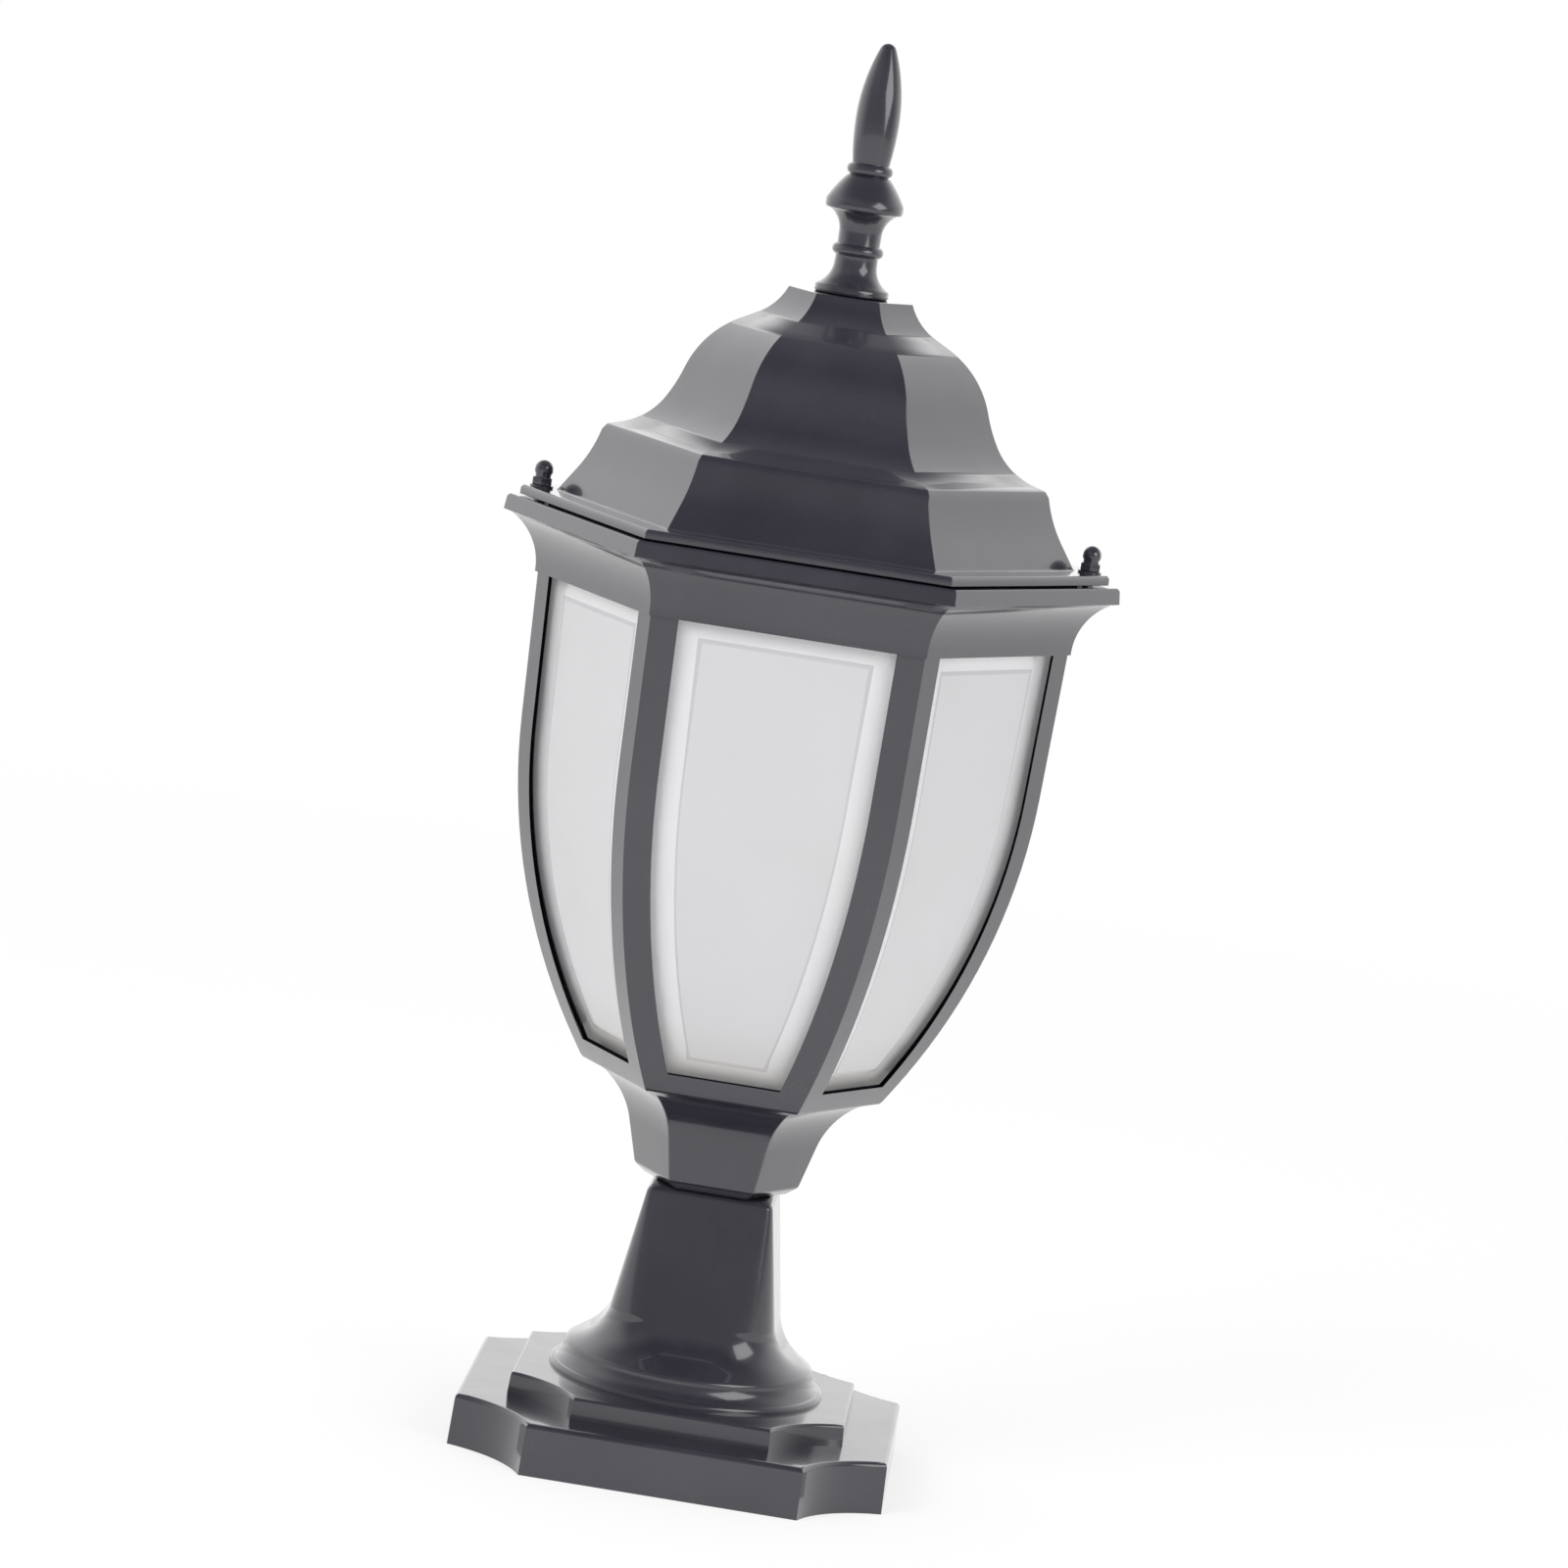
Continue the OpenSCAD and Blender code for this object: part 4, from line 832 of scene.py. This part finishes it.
bud_side = (bud_r - tip_r * cos(radians(tip_lean))) / (1 - cos(radians(tip_lean)))
bud = [("turn", tip_lean, tip_r), ("turn", 0, bud_side),
       ("turn", -bud_lean, bud_low_h / sin(radians(bud_lean)))]
tip_z = bud_z - trace((0, 0), 90, bud)[-1].z
bell_side = (bell_r - stem_r) / (cos(radians(bell_low_lean)) - cos(radians(bell_top_lean)))
under_bell = (bell_r - lip_w - stem_r) / (1 - cos(radians(under_lean)))


def bead(bm, stem, z, before, after):
    """A half-round bead on the stem, joined to what stands before and after it."""
    edge = stem - bead_r * bead_sink + bead_r * cos(radians(bead_lean))
    rise = bead_r * sin(radians(bead_lean))
    moulding(bm, before, 0, [("to", edge, z + rise)])
    moulding(bm, (edge, z + rise), bead_lean, [("turn", -bead_lean, bead_r), ("to", *after)])


bm = bmesh.new()
side = moulding(bm, (0, tip_z), 90, bud)
bead(bm, stem_r - upper_stem_in, bell_top + upper_bead_h, tuple(side[-1].co.xz),
     (stem_r, bell_top))
moulding(bm, (stem_r, bell_top), bell_top_lean, [
    ("turn", bell_low_lean, bell_side), ("to", bell_r, bell_z + lip_h),
    ("to", bell_r - lip_edge, bell_z), ("to", bell_r - lip_w, bell_z)])
side = moulding(bm, (bell_r - lip_w, bell_z), -under_lean, [("turn", 0, under_bell)])
bead(bm, stem_r, stem_z + lower_bead_h, tuple(side[-1].co.xz), (stem_r, stem_z))
moulding(bm, (stem_r, stem_z), 0, [
    ("turn", collar_lean, collar_r), ("to", foot_r, cap_z + foot_h),
    ("to", foot_r, cap_z + foot_edge_w), ("to", foot_r - foot_edge_w, cap_z), ("to", 0, cap_z)])
bmesh.ops.remove_doubles(bm, verts=bm.verts[:], dist=0.01)
turn_round(bm, 72)
piece("finial_turning", bm, enamel, "painted_casting", "finial")

# Cap nuts. Two domed steel nuts on washers, enamelled with the roof, on its left and right
# corners: a hexagon, a short waist and a dome.
washer_t, nut_h, hexagon_h, hexagon_r, dome_r = 0.8, 9.2, 2.9, 4.04, 3.4
waist_in, waist_top, waist_foot, nut_edge, stud_inset = 0.5, 4.9, 3.9, 0.35, 12.6
stud_x = rim_r - stud_inset
nut_z = flange_z + washer_t
for name, k in (("left", -1), ("right", 1)):
    bm = bmesh.new()
    sunk = nut_z + hexagon_h - waist_in
    moulding(bm, (0, nut_z + nut_h), 90, [
        ("turn", 0, dome_r), ("to", dome_r, nut_z + waist_top),
        ("to", dome_r - waist_in, nut_z + waist_foot), ("to", dome_r - waist_in, sunk),
        ("to", 0, sunk)])
    turn_round(bm, 32)
    hexagon = bmesh.ops.create_circle(bm, cap_ends=True, segments=6, radius=hexagon_r)["verts"]
    bmesh.ops.translate(bm, verts=hexagon, vec=(0, 0, nut_z))
    base = list({face for vert in hexagon for face in vert.link_faces})
    raised = bmesh.ops.extrude_face_region(bm, geom=base)["geom"]
    bmesh.ops.translate(bm, verts=[v for v in raised if isinstance(v, bmesh.types.BMVert)],
                        vec=(0, 0, hexagon_h))
    bmesh.ops.recalc_face_normals(bm, faces=bm.faces[:])
    round_edges(bm, nut_edge)
    bmesh.ops.translate(bm, verts=bm.verts[:], vec=(k * stud_x, 0, 0))
    piece("dome_nut_" + name, bm, enamel, "painted_fixing", "cap_nut_" + name)

# Washers of the roof. Two pressed steel washers, enamelled with the nuts.
washer_enamel = finish("enamel on steel", cast_surface,
                       {"Colour": (0.024, 0.023, 0.028, 1), "Bloom": (0.034, 0.032, 0.038, 1),
                        "Smooth": 0.24, "Dull": 0.34},
                       {"Coat Weight": 0.6, "Coat Roughness": 0.1, "IOR": 1.5}, 0.0002, 0.2)


def dress(material, *nodes):
    """Gives carried-over CAD nodes their material."""
    for name in nodes:
        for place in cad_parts[name].material_slots:
            place.material = material


dress(washer_enamel, "roof_washer_left", "roof_washer_right")

# Plated steel. The strap, the screws, studs, clips and washers and the lampholder's cap are
# zinc plated, with the faint spangle and the rubbed patches of such plating.
metal_group, taken, given = group_tree(
    "rubbed metal",
    [("Colour", "NodeSocketColor", (0.6, 0.61, 0.63, 1)),
     ("Rubbed", "NodeSocketColor", (0.5, 0.51, 0.53, 1)),
     ("Smooth", "NodeSocketFloat", 0.3), ("Dull", "NodeSocketFloat", 0.5)],
    [("Colour", "NodeSocketColor"), ("Roughness", "NodeSocketFloat"),
     ("Height", "NodeSocketFloat")])
where = metal_group.nodes.new("ShaderNodeTexCoord").outputs["Object"]
patches = spread(metal_group, noise(metal_group, where, 70, 4, 0.6), 0.35, 0.7, 0, 1)
grain = noise(metal_group, where, 600, 2)
metal_group.links.new(
    colour_mix(metal_group, patches, taken.outputs["Colour"], taken.outputs["Rubbed"]),
    given.inputs["Colour"])
dulled = metal_group.nodes.new("ShaderNodeMapRange")
metal_group.links.new(patches, dulled.inputs["Value"])
metal_group.links.new(taken.outputs["Smooth"], dulled.inputs["To Min"])
metal_group.links.new(taken.outputs["Dull"], dulled.inputs["To Max"])
metal_group.links.new(dulled.outputs["Result"], given.inputs["Roughness"])
metal_group.links.new(grain, given.inputs["Height"])
zinc = finish("zinc plated steel", metal_group,
              {"Colour": (0.62, 0.63, 0.66, 1), "Rubbed": (0.50, 0.51, 0.54, 1),
               "Smooth": 0.28, "Dull": 0.45}, {"Metallic": 1.0}, 0.0001, 0.3)
sides = ("front", "front_right", "back_right", "back", "back_left", "front_left")
dress(zinc, "mounting_strap", "grub_screw_left", "grub_screw_right", "terminal_screw",
      "lower_washer", "upper_washer", "lampholder_cap", "lampholder_screws", "clip_screws",
      "stud_left", "stud_right", "finial_stud", "finial_washer", "finial_nut",
      *("clip_" + side for side in sides))

# Brass. The tie tube and its nuts, the earth screw with its washer, and the lampholder's
# shell and contact are turned or pressed from brass.
brass = finish("turned brass", metal_group,
               {"Colour": (0.78, 0.60, 0.30, 1), "Rubbed": (0.66, 0.49, 0.23, 1),
                "Smooth": 0.22, "Dull": 0.4}, {"Metallic": 1.0}, 0.0001, 0.2)
dress(brass, "tie_tube", "lower_nut", "upper_nut", "earth_screw", "earth_washer",
      "screw_shell", "centre_contact")

# Ceramic. The lampholder's body and the terminal block are glazed white porcelain, with a
# little cream in the glaze.
glaze = finish("glazed porcelain", cast_surface,
               {"Colour": (0.84, 0.83, 0.79, 1), "Bloom": (0.79, 0.77, 0.71, 1),
                "Smooth": 0.12, "Dull": 0.22}, {"Coat Weight": 0.5, "IOR": 1.5}, 0.0002, 0.2)
dress(glaze, "lampholder_body", "terminal_block")

# Gasket. A ring of black rubber cord in the roof's seat, pressed on the crown's rim.
rubber = finish("black rubber", cast_surface,
                {"Colour": (0.018, 0.018, 0.018, 1), "Bloom": (0.035, 0.035, 0.034, 1),
                 "Smooth": 0.6, "Dull": 0.8}, {}, 0.0002, 0.4)
dress(rubber, "roof_gasket")

bpy.context.view_layer.update()
